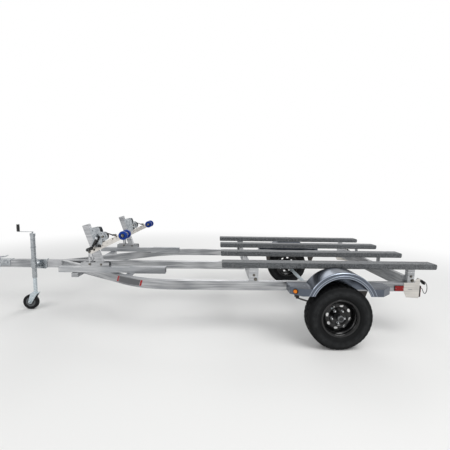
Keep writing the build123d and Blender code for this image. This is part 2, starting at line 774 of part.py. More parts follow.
def make_bow_wheels():
    """Twin bow wheels, one each side of the left arm."""
    bore = bow_axle_radius + running_clearance
    rim = bow_wheel_radius
    near = stand_half_width + bow_wheel_gap
    far = near + bow_wheel_width
    section = polygon((near, bore), (near, rim), (far, rim), (far, rim / 2), (far - 6, rim / 2 - 4), (far - 6, bore))
    section = rounded(section, rim / 4, (near, rim), (far, rim))
    left = Pos(-stand_y, 0) * mirror(section, about=Plane.YZ)
    right = Pos(-stand_y, 0) * section
    return group(turned(left, *bow_axle), turned(right, *bow_axle))


# Winch: side plates, drum with its gear, crank with its pinion and ratchet wheel, and the pawl

def winch_point(along, reach):
    """X and Z of a point of the winch, along the post and out from its rear face."""
    return post_point(along, post_depth / 2 + reach)


drum_centre = winch_point(drum_along, drum_reach)
crank_centre = on_circle(drum_centre, gear_spacing, crank_side_angle)
crank_end = on_circle(crank_centre, crank_arm_length, crank_arm_angle)


def gear_outline(teeth, first_angle):
    """Spur gear's outline, with straight tooth flanks."""
    # share of a tooth's pitch from its middle, height over the pitch circle in modules
    corners = ((-0.31, -1.25), (-0.12, 0.95), (0.12, 0.95), (0.31, -1.25))
    pitch_radius = gear_module * teeth / 2
    return polygon(*[
        on_circle((0, 0), pitch_radius + height * gear_module, first_angle + 360 * (tooth + share) / teeth)
        for tooth in range(teeth) for share, height in corners])


def make_winch_frame():
    """Two side plates joined by a back plate on the post's rear face."""
    half = winch_width / 2
    # along the post, reach from its rear face
    corners = ((233, 0), (246, 76), (290, 98), (409, 112), (449, 111), (463, 65), (470, 0))
    side = polygon(*[winch_point(along, reach) for along, reach in corners])
    side = rounded(side, 14, winch_point(*corners[1]), winch_point(*corners[4]), winch_point(*corners[5]))
    side += Pos(*drum_centre) * Circle(winch_lobe_radius)
    side -= Pos(*drum_centre) * Circle(drum_shaft_radius + fit_gap)
    side -= Pos(*crank_centre) * Circle(crank_shaft_radius + fit_gap)
    side -= Pos(*winch_point(winch_hole_along, winch_hole_reach)) * Circle(winch_hole_radius)
    frame = along_y(side, -stand_y - half, -stand_y - half + winch_plate)
    frame += along_y(side, -stand_y + half - winch_plate, -stand_y + half)
    back = polygon(winch_point(winch_back_start, 0), winch_point(winch_back_start, winch_plate),
                   winch_point(corners[-1][0], winch_plate), winch_point(corners[-1][0], 0))
    return frame + along_y(back, -stand_y - half, -stand_y + half)


def gear_span():
    """Y of the two faces of the gear and pinion, inside the left side plate."""
    near = -stand_y - winch_width / 2 + winch_plate + gear_side_gap
    return near, near + gear_width


def make_winch_drum():
    """Drum with its gear, far flange and wound strap, on its shaft."""
    half = winch_width / 2 + shaft_overhang
    near, far = gear_span()
    gear = along_y(Pos(*drum_centre) * gear_outline(gear_teeth, crank_side_angle), near, far)
    gear -= along_y(Pos(*drum_centre) * (Circle(drum_flange_radius - 4) - Circle(winch_lobe_radius)),
                    near, near + gear_dish)
    drum = gear + rod_y(drum_shaft_radius, *drum_centre, -stand_y - half, -stand_y + half)
    drum += rod_y(strap_radius, *drum_centre, far, far + strap_width)
    drum += rod_y(drum_flange_radius, *drum_centre, far + strap_width, far + strap_width + drum_flange_thickness)
    return drum


def make_winch_strap():
    """Strap's free end, drawn tight from the drum's top to a shackle in the bow arm's eye."""
    far = gear_span()[1]
    eye = strap_eye_points()[0]
    hook_end = (eye[0] - shackle_length, eye[1])
    run = sqrt((hook_end[0] - drum_centre[0]) ** 2 + (hook_end[1] - drum_centre[1]) ** 2)
    bearing = degrees(atan2(hook_end[1] - drum_centre[1], hook_end[0] - drum_centre[0]))
    start_radius = strap_radius + fit_gap + strap_thickness / 2
    start = on_circle(drum_centre, start_radius, bearing + degrees(acos(start_radius / run)))
    strap = along_y(hull_of_two(start, hook_end, strap_thickness / 2), far, far + strap_width)
    strap += rod_y(shackle_bolt_radius, *hook_end, far, far + strap_width)
    inner = strap_eye_sheet / 2 + fit_gap
    outer = inner + strap_eye_sheet / 2
    cheek = hull_of_two(hook_end, eye, shackle_bolt_radius * 1.4)
    strap += along_y(cheek, -stand_y - outer, -stand_y - inner) + along_y(cheek, -stand_y + inner, -stand_y + outer)
    return strap + rod_y(shackle_bolt_radius, *eye, -stand_y - outer, -stand_y + outer)


def ratchet_point(radius, behind):
    """X and Z near the ratchet wheel: out from its centre, and down from its right side."""
    return crank_centre[0] + radius, crank_centre[1] - behind


def make_winch_crank():
    """Left crank: shaft with pinion and ratchet wheel, flat arm and grip."""
    face = -stand_y - winch_width / 2
    near, far = gear_span()
    ratchet_near = face - gear_side_gap - ratchet_thickness
    arm_near = face - crank_offset - crank_arm_sheet
    crank = rod_y(crank_shaft_radius, *crank_centre, arm_near - crank_arm_sheet, -stand_y + winch_width / 2 + shaft_overhang)
    pinion_angle = crank_side_angle + 180 + 180 / pinion_teeth
    crank += along_y(Pos(*crank_centre) * gear_outline(pinion_teeth, pinion_angle), near, far)
    step = 360 / ratchet_teeth
    teeth = [point for tooth in range(ratchet_teeth) for point in (
        on_circle((0, 0), ratchet_root_radius, step * tooth), on_circle((0, 0), ratchet_tip_radius, step * tooth))]
    crank += along_y(Pos(*crank_centre) * polygon(*teeth), ratchet_near, ratchet_near + ratchet_thickness)
    arm = hull_of_two(crank_centre, crank_end, crank_arm_half_width)
    crank += along_y(arm, arm_near, arm_near + crank_arm_sheet)
    return crank + rod_y(crank_grip_radius, *crank_end, arm_near - crank_grip_length, arm_near)


def make_winch_pawl():
    """Left pawl: its nose in the ratchet wheel, a boss on the side plate and a tail to lift it by."""
    face = -stand_y - winch_width / 2
    middle_radius = (ratchet_root_radius + ratchet_tip_radius) / 2
    pivot = ratchet_point(middle_radius, pawl_length)
    tail = ratchet_point(middle_radius - pawl_tail / 2, pawl_length + pawl_tail)
    clear = 2 * fit_gap
    pawl = polygon(ratchet_point(ratchet_root_radius + clear, clear), ratchet_point(ratchet_tip_radius + 5, clear),
                   ratchet_point(middle_radius + pawl_boss_radius, pawl_length),
                   ratchet_point(middle_radius - pawl_boss_radius / 2, pawl_length),
                   ratchet_point(ratchet_tip_radius + 1, ratchet_tip_radius / 2))
    pawl += hull_of_two(pivot, tail, pawl_boss_radius)
    near = face - gear_side_gap - ratchet_thickness
    return along_y(pawl, near, near + ratchet_thickness) + rod_y(pawl_boss_radius, *pivot, near, face)


# Coupler

def make_coupler():
    """Pressed coupler: channel over the tongue that narrows to the ball's dome."""
    outer = tongue_width / 2 + coupler_wall
    dome = ball_socket_radius + ball_dome_wall
    top = frame_top + coupler_wall
    plan = polygon((coupler_rear_x, -outer), (coupler_taper_x, -outer), (ball_x, -dome), (ball_x, dome),
                   (coupler_taper_x, outer), (coupler_rear_x, outer))
    plan += Pos(ball_x, 0) * Circle(dome)
    plan += polygon((coupler_nose_x, -coupler_nose_half), (ball_x, -dome * 0.75), (ball_x, dome * 0.75),
                    (coupler_nose_x, coupler_nose_half))
    body = along_z(plan, coupler_base, top)
    side = polygon((coupler_rear_x, top), (coupler_taper_x - 20, top), (ball_x + dome, ball_z + coupler_wall),
                   (ball_x - dome, ball_z + coupler_wall), (coupler_nose_x, ball_z - coupler_wall),
                   (coupler_nose_x, coupler_base), (coupler_rear_x, coupler_base))
    body &= along_y(side, -outer, outer)
    body += Pos(ball_x, 0, ball_z) * Sphere(dome) & block(
        (ball_x - dome, ball_x + dome), (-dome, dome), (coupler_base, ball_z + dome))
    body -= block((tongue_front_x, 0), (-tongue_width / 2, tongue_width / 2), (0, frame_top))
    inside = dome - ball_dome_wall
    body -= block((coupler_taper_x + coupler_wall, tongue_front_x), (-inside, inside), (0, frame_top - 4 * coupler_wall))
    body -= Pos(ball_x, 0, ball_z) * Sphere(ball_socket_radius)
    body -= along_z(Pos(ball_x, 0) * Circle(ball_socket_radius), coupler_base - 1, ball_z)
    return body


def make_coupler_latch():
    """Folded lever on a pivot block on top of the coupler."""
    top = frame_top + coupler_wall
    half = latch_width / 2
    front = latch_pivot_x - latch_width
    foot = block((front, latch_pivot_x + half), (-half - latch_wall, half + latch_wall), (top, top + half))
    # length along the lever from its front end, height over the coupler
    outline = ((0, half), (latch_width + half, half), (latch_length * 0.85, 2 * half), (latch_length, 3.2 * half),
               (latch_length - 12, 3.2 * half + 4), (latch_length * 0.8, 2.7 * half), (0, 2.4 * half))
    lever = along_y(polygon(*[(front + along, top + height) for along, height in outline]), -half, half)
    return foot + lever + rod_y(half / 3, latch_pivot_x, top + 1.5 * half, -half - 2 * latch_wall, half + 2 * latch_wall)


# Jack, upright on its wheel as the trailer parks

def make_jack_mount():
    """Plate and pivot pin on the tongue's left side, held by two U-bolts."""
    face = -tongue_width / 2
    bolt = jack_bolt_radius
    plate = along_y(Pos(jack_x, (frame_base + frame_top) / 2) * RectangleRounded(
        2 * jack_plate_half_length, rail_height + 4.8 * bolt, 3 * bolt), face - jack_plate_sheet, face)
    boss_end = face - jack_plate_sheet - jack_boss_length
    boss = rod_y(jack_boss_radius, jack_x, jack_pivot_z, boss_end, face)
    pin = rod_y(jack_pin_radius, jack_x, jack_pivot_z, -jack_y + jack_boss_radius, boss_end)
    mount = plate + boss + pin
    far = tongue_width / 2 + bolt
    for x in (jack_x - jack_bolt_offset, jack_x + jack_bolt_offset):
        for z in (frame_base - bolt, frame_top + bolt):
            mount += rod_y(bolt, x, z, face - 4 * bolt, far)
            mount += Pos(x, far, z) * Sphere(bolt)
        mount += along_z(Pos(x, far) * Circle(bolt), frame_base - bolt, frame_top + bolt)
    return mount


def make_jack_tube():
    """Outer tube with its pivot plate, collar and gear head."""
    top = jack_pivot_z + jack_tube_above
    low = jack_pivot_z - jack_tube_below
    collar = jack_pivot_z + jack_collar_rise
    tube = along_z(Circle(jack_tube_radius), low, top)
    tube += along_z(Circle(jack_tube_radius + 3), collar, collar + 20)
    head = along_z(Circle(jack_head_radius), top, top + jack_head_height)
    tube += fillet(head.edges().sort_by(Axis.Z)[-1], jack_head_radius / 5)
    tube -= along_z(Circle(jack_leg_radius + jack_leg_clearance), low - 1, top - 40)
    tube = Pos(jack_x, -jack_y, 0) * tube
    near = -tongue_width / 2 - jack_plate_sheet - jack_boss_length - face_clearance
    plate = rod_y(jack_plate_radius, jack_x, jack_pivot_z, -jack_y + 10, near)
    plate -= along_z(Pos(jack_x, -jack_y) * Circle(jack_tube_radius - 1), 0, top)
    pin_end = -jack_y + jack_boss_radius - face_clearance
    plate -= rod_y(jack_pin_radius + running_clearance, jack_x, jack_pivot_z, pin_end, 0)
    return tube + plate


def make_jack_crank():
    """Crank at the jack's head: arm forward, grip up."""
    top = jack_pivot_z + jack_tube_above + jack_head_height
    half = jack_crank_half_width
    end_x = jack_x - jack_crank_arm + half
    shaft = along_z(Pos(jack_x, -jack_y) * Circle(half * 0.8), top, top + 16)
    arm = along_z(hull_of_two((jack_x, -jack_y), (end_x, -jack_y), half), top + 16, top + 22)
    grip = along_z(Pos(end_x, -jack_y) * Circle(half * 1.45), top + 22, top + 22 + jack_grip_length)
    return shaft + arm + grip


def make_jack_leg():
    """Inner tube with the caster's fork."""
    crown_z = 2 * jack_wheel_radius + 26
    wheel_x = jack_x - jack_wheel_trail
    leg = along_z(Pos(jack_x, -jack_y) * Circle(jack_leg_radius), crown_z, jack_pivot_z + jack_leg_above)
    half = jack_wheel_width / 2 + jack_fork_gap
    outer = half + jack_fork_sheet
    front = jack_x - 52
    rear = jack_x + 40
    crown = block((front, rear), (-jack_y - outer, -jack_y + outer), (crown_z - 8, crown_z))
    low = jack_wheel_radius - 20
    cheek = polygon((front, crown_z), (rear, crown_z), (wheel_x + 26, low + 14), (wheel_x + 14, low),
                    (wheel_x - 14, low), (wheel_x - 26, low + 16))
    fork = crown + along_y(cheek, -jack_y - outer, -jack_y - half) + along_y(cheek, -jack_y + half, -jack_y + outer)
    axle = rod_y(jack_axle_radius, wheel_x, jack_wheel_radius, -jack_y - outer - 8, -jack_y + outer + 8)
    return leg + fork + axle


def make_jack_wheel():
    half = jack_wheel_width / 2
    bore = jack_axle_radius + running_clearance
    rim = jack_wheel_radius
    # distance across from the wheel's middle plane, radius
    right_half = [(half, rim), (half, 68), (half - 8, 62), (half - 6, 22), (half + 3, 20), (half + 3, bore)]
    left_half = [(-y, radius) for y, radius in reversed(right_half)]
    section = rounded(polygon(*right_half, *left_half), 11, (half, rim), (-half, rim))
    return turned(Pos(-jack_y, 0) * section, jack_x - jack_wheel_trail, jack_wheel_radius)


# Lamps

def make_lamp_plates():
    """Bent plates that close the rails' rear ends and carry the tail lamps, each with an ear for its lead."""
    outer = -rail_outer_y - lamp_plate_sheet
    rear = lamp_plate_rear_x
    ear_top = frame_top + lamp_plate_ear
    side = polygon((lamp_plate_front_x, frame_top), (lamp_plate_front_x, frame_base + 8),
                   (lamp_plate_front_x + 39, lamp_plate_base + 10), (rear, lamp_plate_base),
                   (rear, ear_top), (rear - ear_length, ear_top), (rear - ear_length - 27, frame_top))
    side -= Pos(rear - 110, frame_base + 25) * SlotOverall(51, 9)
    plate = along_y(side, outer, -rail_outer_y)
    back = polygon((outer, lamp_plate_base), (outer + lamp_plate_width, lamp_plate_base),
                   (outer + lamp_plate_width, frame_top), (outer + 70, frame_top), (outer + 45, ear_top),
                   (outer, ear_top))
    return both_sides(plate + along_x(back, rear - lamp_plate_sheet, rear))


def make_tail_lamps():
    """Combination lamps on the rear faces of the lamp plates."""
    start_y = -rail_outer_y + tail_lamp_inset
    lamp = block((lamp_plate_rear_x, lamp_plate_rear_x + tail_lamp_depth), (start_y, start_y + tail_lamp_width),
                 (lamp_plate_base + 4, lamp_plate_base + 4 + tail_lamp_height))
    return both_sides(fillet(lamp.edges().filter_by(Axis.X), tail_lamp_round))


# points along the left lead: behind the lamp plate, in from the rail's outer face, over the frame's top
lead_route = (
    (0.0, 17.5, 23.0), (34.0, 17.5, 23.0), (68.0, 12.5, 10.0), (87.0, 4.5, -22.0), (90.0, -2.5, -60.0),
    (83.0, -8.5, -98.0), (66.0, -12.5, -124.0), (45.0, -16.5, -114.0), (30.0, -18.5, -84.0),
    (20.0, -12.5, -58.0), (20.0, tail_lamp_inset, -58.0))


def make_lamp_leads():
    """Leads from the lamp plates' ears, looped back into the sides of the tail lamps."""
    route = [(lamp_plate_rear_x + behind, -rail_outer_y + inward, frame_top + rise)
             for behind, inward, rise in lead_route]
    radii = []
    for before, here, after in zip(route, route[1:], route[2:]):
        run_in = Vector(*here) - Vector(*before)
        run_out = Vector(*after) - Vector(*here)
        turn = radians(run_in.get_angle(run_out))
        radii.append(0.45 * min(run_in.length, run_out.length) / tan(turn / 2))
    path = FilletPolyline(*route, radius=radii)
    start = Plane(origin=route[0], z_dir=path % 0)
    print("lamp lead", round(path.length), "mm long, radii", [round(radius) for radius in radii])
    return both_sides(sweep(start * Circle(lead_radius), path=path))


def make_red_markers():
    rear = lamp_plate_front_x - lamp_plate_sheet
    lens = block((rear - red_marker_length, rear), (-rail_outer_y - marker_lamp_depth, -rail_outer_y),
                 (frame_base + 8, frame_base + 8 + red_marker_height))
    return both_sides(fillet(lens.edges().filter_by(Axis.Y), red_marker_height / 10))


def make_amber_markers():
    """Round lamps on the fenders' slanted front faces."""
    outer = -fender_outer_y + bead_height
    run = (skirt_corner_x - skirt_turn_x, -skirt_turn_y - outer)
    length = sqrt(run[0] ** 2 + run[1] ** 2)
    face = (-skirt_corner_x + run[0] * amber_marker_share, outer + run[1] * amber_marker_share)
    plane = Plane(origin=(face[0], face[1], skirt_base + skirt_height / 2),
                  z_dir=(-run[1] / length, run[0] / length, 0))
    return both_sides(extrude(plane * Circle(marker_lamp_radius), amount=marker_lamp_depth))


nodes = {
    "tongue": make_tongue(),
    "coupler": make_coupler(),
    "coupler_latch": make_coupler_latch(),
    "rail_left": make_rail(),
    "rail_right": other_side(make_rail()),
    "crossmember_front": make_crossmember(front_crossmember_x),
    "crossmember_rear": make_crossmember(rear_crossmember_x),
    "winch_beam_outriggers": make_outriggers(),
    "axle_tube": make_axle_tube(),
    "leaf_springs": make_leaf_springs(),
    "spring_hangers": make_spring_hangers(),
    "fender_left": make_fender(),
    "fender_right": other_side(make_fender()),
    "hub_left": make_hub(),
    "hub_right": other_side(make_hub()),
    "rim_left": make_rim(),
    "rim_right": other_side(make_rim()),
    "tyre_left": make_tyre(),
    "tyre_right": other_side(make_tyre()),
    "bunk_outer_left": make_bunk(-outer_bunk_y),
    "bunk_inner_left": make_bunk(-inner_bunk_y),
    "bunk_inner_right": make_bunk(inner_bunk_y),
    "bunk_outer_right": make_bunk(outer_bunk_y),
    "bunk_brackets_front": make_front_bunk_brackets(),
    "bunk_brackets_rear": make_rear_bunk_brackets(),
    "winch_sleeves": make_sleeves(),
    "winch_beam_left": make_beam(),
    "winch_beam_right": other_side(make_beam()),
    "winch_stand_left": make_stand(),
    "winch_stand_right": other_side(make_stand()),
    "bow_arm_left": make_bow_arm(),
    "bow_arm_right": other_side(make_bow_arm()),
    "bow_wheels_left": make_bow_wheels(),
    "bow_wheels_right": other_side(make_bow_wheels()),
    "winch_frames": both_sides(make_winch_frame()),
    "winch_drums": both_sides(make_winch_drum()),
    "winch_straps": both_sides(make_winch_strap()),
    "winch_cranks": both_sides(make_winch_crank()),
    "winch_pawls": both_sides(make_winch_pawl()),
    "jack_mount": make_jack_mount(),
    "jack_tube": make_jack_tube(),
    "jack_crank": make_jack_crank(),
    "jack_leg": make_jack_leg(),
    "jack_wheel": make_jack_wheel(),
    "lamp_plates": make_lamp_plates(),
    "lamp_leads": make_lamp_leads(),
    "tail_lamps": make_tail_lamps(),
    "marker_lamps_red": make_red_markers(),
    "marker_lamps_amber": make_amber_markers(),
}

os.makedirs("parts", exist_ok=True)
for name, shape in nodes.items():
    placed = [Pos(centre_shift, 0, 0) * solid for solid in shape.solids()]
    export_step(placed[0] if len(placed) == 1 else Compound(placed), f"parts/{name}.step")
print("origin lies", centre_shift, "mm in front of the spindles")
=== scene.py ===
"""Looks of a two-place boat trailer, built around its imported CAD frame."""
import logging
import math
from dataclasses import dataclass, field
from enum import Enum
from typing import Any, Iterable, Sequence

import bmesh
import bpy
from mathutils import Matrix, Vector


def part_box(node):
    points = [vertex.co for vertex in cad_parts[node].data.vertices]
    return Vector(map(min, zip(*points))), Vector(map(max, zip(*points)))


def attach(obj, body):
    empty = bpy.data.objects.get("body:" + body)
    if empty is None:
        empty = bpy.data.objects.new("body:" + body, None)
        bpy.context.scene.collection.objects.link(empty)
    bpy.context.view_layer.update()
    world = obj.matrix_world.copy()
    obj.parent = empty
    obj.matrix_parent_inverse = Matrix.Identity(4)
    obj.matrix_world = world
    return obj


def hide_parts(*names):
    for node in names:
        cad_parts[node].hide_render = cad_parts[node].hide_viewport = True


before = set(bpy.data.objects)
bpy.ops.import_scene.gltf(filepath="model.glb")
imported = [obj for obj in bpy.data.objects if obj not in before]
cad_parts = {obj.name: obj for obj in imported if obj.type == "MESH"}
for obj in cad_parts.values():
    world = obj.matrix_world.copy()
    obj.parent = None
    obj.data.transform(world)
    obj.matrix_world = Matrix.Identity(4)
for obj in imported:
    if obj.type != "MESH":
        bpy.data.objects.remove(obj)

LOG = logging.getLogger("boat_trailer")
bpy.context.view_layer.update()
MILLIMETRE = 0.001
ORIGIN = Vector((0.0, 0.0, 0.0))
ALONG_X = Vector((1.0, 0.0, 0.0))
ALONG_Z = Vector((0.0, 0.0, 1.0))
Object = bpy.types.Object
Socket = bpy.types.NodeSocket
Tree = bpy.types.NodeTree
Profile = Sequence[tuple[float, float]]


class Axis(Enum):
    """The row frame's axes."""

    X = 0
    Y = 1
    Z = 2

    def turn(self) -> tuple[float, float, float]:
        """Rotation that lays a primitive's own Z along this axis."""
        return {Axis.X: (0, math.pi / 2, 0), Axis.Y: (-math.pi / 2, 0, 0), Axis.Z: (0, 0, 0)}[self]

    def unit(self) -> Vector:
        """Unit vector along this axis."""
        return Vector([float(index == self.value) for index in range(3)])


class Side(Enum):
    """Left and right of the trailer, as the sign of Y."""

    LEFT = -1
    RIGHT = 1

    @property
    def word(self) -> str:
        """The side's name, as CAD nodes have it."""
        return self.name.lower()


# Finishes

def linear(code: str) -> tuple[float, float, float, float]:
    """Linear colour from an sRGB hex code.

    Args:
        code: six hex digits.

    Returns:
        Red, green, blue and alpha.
    """
    parts = [int(code[index:index + 2], 16) / 255 for index in (0, 2, 4)]
    return (*[c / 12.92 if c <= 0.04045 else ((c + 0.055) / 1.055) ** 2.4 for c in parts], 1.0)


def per_metre(size_mm: float) -> float:
    """Pattern scale, in repeats a metre, of a feature that many millimetres wide."""
    return 1000.0 / size_mm


def add_node(tree: Tree, kind: str, settings: dict[Any, Any] | None = None,
             links: dict[Any, Socket] | None = None, output: int | str = 0) -> Socket:
    """Adds one shader node.

    Args:
        tree: the node tree that gets it.
        kind: the node's type name.
        settings: its attributes or input values, by name or index.
        links: sockets that feed its inputs, by name or index.
        output: which of its outputs is wanted.

    Returns:
        That output of the new node.
    """
    node = tree.nodes.new(kind)
    for name, value in (settings or {}).items():
        if isinstance(name, str) and hasattr(node, name):
            setattr(node, name, value)
        else:
            node.inputs[name].default_value = value
    for name, socket in (links or {}).items():
        tree.links.new(socket, node.inputs[name])
    return node.outputs[output]


def own_node(tree: Tree, kind: str) -> bpy.types.Node:
    """The node of a kind that a new tree already has."""
    return next(node for node in tree.nodes if node.type == kind)


def distance_from_line(tree: Tree, place: Socket, x: float, z: float) -> Socket:
    """How far each point is from a line along Y.

    Args:
        tree: the material's node tree.
        place: Object coordinates, in metres.
        x: the line's place along X.
        z: the line's height.

    Returns:
        The distance, in metres.
    """
    level = add_node(tree, "ShaderNodeVectorMath",
                     {"operation": "MULTIPLY_ADD", 1: (1.0, 0.0, 1.0), 2: (-x, 0.0, -z)}, {0: place})
    return add_node(tree, "ShaderNodeVectorMath", {"operation": "LENGTH"}, {0: level}, "Value")


@dataclass(frozen=True)
class Speckle:
    """A random pattern: its features' real width, how broken they are, and how they are drawn out."""

    width_mm: float
    detail: float
    squeeze: tuple[float, float, float] = (1.0, 1.0, 1.0)

    def draw(self, tree: Tree, place: Socket) -> Socket:
        """Adds the pattern to a material.

        Args:
            tree: the material's node tree.
            place: Object coordinates, in metres.

        Returns:
            The pattern's value, from 0 to 1.
        """
        at = add_node(tree, "ShaderNodeMapping", {"Scale": self.squeeze}, {"Vector": place})
        return add_node(tree, "ShaderNodeTexNoise",
                        {"Scale": per_metre(self.width_mm), "Detail": self.detail}, {"Vector": at}, "Fac")


@dataclass(frozen=True)
class Finish:
    """A surface as its maker leaves it: two tones in patches, a swing of roughness and a fine relief.

    The patches' value turns the first colour into the second over the range `tones`, and the gloss from
    sharp to dull over the range `dulling`, by the roughness that `swing` takes off and adds. The relief is
    `depth_mm` deep.
    """

    name: str
    colour: str
    second_colour: str
    roughness: float
    metallic: float = 0.0
    patch: Speckle = Speckle(30.0, 3.0)
    tones: tuple[float, float] = (0.0, 1.0)
    dulling: tuple[float, float] = (0.3, 0.7)
    swing: tuple[float, float] | None = None
    grain: Speckle = Speckle(1.0, 1.0)
    depth_mm: float = 0.06
    strength: float = 0.5
    sockets: tuple[tuple[str, float], ...] = ()

    def material(self) -> bpy.types.Material:
        """The finish's material, made once.

        Returns:
            A node material with this finish's name.
        """
        made = bpy.data.materials.get(self.name)
        if made is not None:
            return made
        made = bpy.data.materials.new(self.name)
        made.use_nodes = True
        tree = made.node_tree
        shader = own_node(tree, "BSDF_PRINCIPLED")
        for name, value in (("Metallic", self.metallic), ("Roughness", self.roughness), *self.sockets):
            shader.inputs[name].default_value = value
        place = add_node(tree, "ShaderNodeTexCoord", output="Object")
        patches = self.patches(tree, place)
        relief = {"Strength": self.strength, "Distance": self.depth_mm * MILLIMETRE}
        feeds = {"Base Color": self.tint(tree, place, self.share(tree, place, patches)),
                 "Normal": add_node(tree, "ShaderNodeBump", relief, {"Height": self.heights(tree, place)})}
        if self.swing:
            feeds["Roughness"] = self.gloss(tree, place, patches)
        for name, socket in feeds.items():
            tree.links.new(socket, shader.inputs[name])
        return made

    def patches(self, tree: Tree, place: Socket) -> Socket:
        """The pattern that shares out tone and gloss."""
        return self.patch.draw(tree, place)

    def heights(self, tree: Tree, place: Socket) -> Socket:
        """The pattern of the relief."""
        return self.grain.draw(tree, place)

    def share(self, tree: Tree, place: Socket, patches: Socket) -> Socket:
        """The second colour's share."""
        return add_node(tree, "ShaderNodeMapRange", {"From Min": self.tones[0], "From Max": self.tones[1]},
                        {"Value": patches})

    def tint(self, tree: Tree, place: Socket, share: Socket) -> Socket:
        """The surface's colour by the second colour's share."""
        colours = {"data_type": "RGBA", 6: linear(self.colour), 7: linear(self.second_colour)}
        return add_node(tree, "ShaderNodeMix", colours, {0: share}, 2)

    def gloss(self, tree: Tree, place: Socket, patches: Socket) -> Socket:
        """The surface's roughness by the patches."""
        limits = {"From Min": self.dulling[0], "From Max": self.dulling[1],
                  "To Min": self.roughness - self.swing[0], "To Max": self.roughness + self.swing[1]}
        return add_node(tree, "ShaderNodeMapRange", limits, {"Value": patches})


@dataclass(frozen=True)
class MillAluminium(Finish):
    """Extruded aluminium as it leaves the die: die lines and level streaks of dull oxide over broad clouds.

    Both run level, as on every bar of this frame, so their noise is drawn out along X and Y.
    """

    metallic: float = 1.0
    patch: Speckle = Speckle(400.0, 2.0)
    tones: tuple[float, float] = (0.38, 0.62)
    swing: tuple[float, float] = (0.02, 0.03)
    grain: Speckle = Speckle(3.5, 2.0, (0.01, 0.01, 1.0))
    depth_mm: float = 0.12
    streak: Speckle = Speckle(16.0, 3.0, (0.05, 0.05, 1.0))
    streak_weight: float = 0.65
    streak_swing: tuple[float, float] = (0.05, 0.06)

    def share(self, tree: Tree, place: Socket, patches: Socket) -> Socket:
        """Streaks over clouds."""
        both = add_node(tree, "ShaderNodeMix", {0: self.streak_weight},
                        {2: patches, 3: self.streak.draw(tree, place)})
        return super().share(tree, place, both)

    def gloss(self, tree: Tree, place: Socket, patches: Socket) -> Socket:
        """Streaks dull the clouds' gloss further.

        Args:
            tree: the material's node tree.
            place: Object coordinates, in metres.
            patches: the clouds.

        Returns:
            The roughness.
        """
        limits = {"From Min": self.dulling[0], "From Max": self.dulling[1],
                  "To Min": -self.streak_swing[0], "To Max": self.streak_swing[1]}
        more = add_node(tree, "ShaderNodeMapRange", limits, {"Value": self.streak.draw(tree, place)})
        return add_node(tree, "ShaderNodeMath", {"operation": "ADD"},
                        {0: super().gloss(tree, place, patches), 1: more})


@dataclass(frozen=True)
class BeadedSheet(Finish):
    """Rolled and pressed fender sheet: satin, with soft bluish clouds and fine handling marks.

    The raised ridges round the wheel get a painted highlight line on the outer wall, each given by its radius
    and half width.
    """

    metallic: float = 1.0
    patch: Speckle = Speckle(160.0, 2.0)
    tones: tuple[float, float] = (0.25, 0.75)
    swing: tuple[float, float] = (0.015, 0.025)
    grain: Speckle = Speckle(1.6, 2.0, (1.0, 0.08, 1.0))
    depth_mm: float = 0.05
    strength: float = 0.4
    arch_x: float = 1.747
    arch_z: float = 0.466
    wall_y: float = 1.190
    wall_edge: float = 0.006
    ridges: tuple[tuple[float, float], ...] = ((0.342, 0.0050), (0.3735, 0.0032), (0.323, 0.0036))
    # colour of the painted highlight lines on the ridges
    ridge_highlight: str = "A3ABB7"

    def tint(self, tree: Tree, place: Socket, share: Socket) -> Socket:
        """The sheet's own colour, and a painted highlight line at each ridge.

        Args:
            tree: the material's node tree.
            place: Object coordinates, in metres.
            share: the second colour's share.

        Returns:
            The colour.
        """
        reach = distance_from_line(tree, place, self.arch_x, self.arch_z)
        wide = add_node(tree, "ShaderNodeMath", {"operation": "ABSOLUTE"},
                        {0: add_node(tree, "ShaderNodeSeparateXYZ", {}, {0: place}, "Y")})
        # painted highlight: a brighter band along each ridge, shown on the outer wall only
        lines = []
        for radius, half in self.ridges:
            away = add_node(tree, "ShaderNodeMath", {"operation": "SUBTRACT", 1: radius}, {0: reach})
            away = add_node(tree, "ShaderNodeMath", {"operation": "ABSOLUTE"}, {0: away})
            lines.append(add_node(tree, "ShaderNodeMapRange",
                                  {"From Min": half * 1.3, "From Max": half * 0.2}, {"Value": away}))
        while len(lines) > 1:
            lines.append(add_node(tree, "ShaderNodeMath", {"operation": "MAXIMUM"},
                                  {0: lines.pop(), 1: lines.pop()}))
        wall = add_node(tree, "ShaderNodeMapRange",
                        {"From Min": self.wall_y, "From Max": self.wall_y + self.wall_edge}, {"Value": wide})
        shown = add_node(tree, "ShaderNodeMath", {"operation": "MULTIPLY"}, {0: lines[0], 1: wall})
        return add_node(tree, "ShaderNodeMix", {"data_type": "RGBA", 7: linear(self.ridge_highlight)},
                        {0: shown, 6: super().tint(tree, place, share)}, 2)


@dataclass(frozen=True)
class ZincPlate(Finish):
    """Bright zinc plate: fairly sharp reflections, with a faint tint in patches about the size of a thumb."""

    metallic: float = 1.0
    patch: Speckle = Speckle(28.0, 3.0)
    tones: tuple[float, float] = (0.35, 0.65)
    swing: tuple[float, float] = (0.06, 0.10)
    grain: Speckle = Speckle(4.0, 2.0)
    depth_mm: float = 0.08
    strength: float = 0.35


@dataclass(frozen=True)
class HotDipZinc(Finish):
    """Hot-dip galvanising: grey zinc with crystal spangles, each of its own tone."""

    metallic: float = 1.0
    dulling: tuple[float, float] = (0.0, 1.0)
    swing: tuple[float, float] = (0.08, 0.12)
    grain: Speckle = Speckle(14.0, 3.0)
    depth_mm: float = 0.25
    strength: float = 0.4
    spangle_mm: float = 9.0

    def patches(self, tree: Tree, place: Socket) -> Socket:
        """The cells of a Voronoi pattern are the spangles."""
        cells = add_node(tree, "ShaderNodeTexVoronoi", {"Scale": per_metre(self.spangle_mm)},
                         {"Vector": place}, "Color")
        return add_node(tree, "ShaderNodeSeparateColor", {}, {"Color": cells})


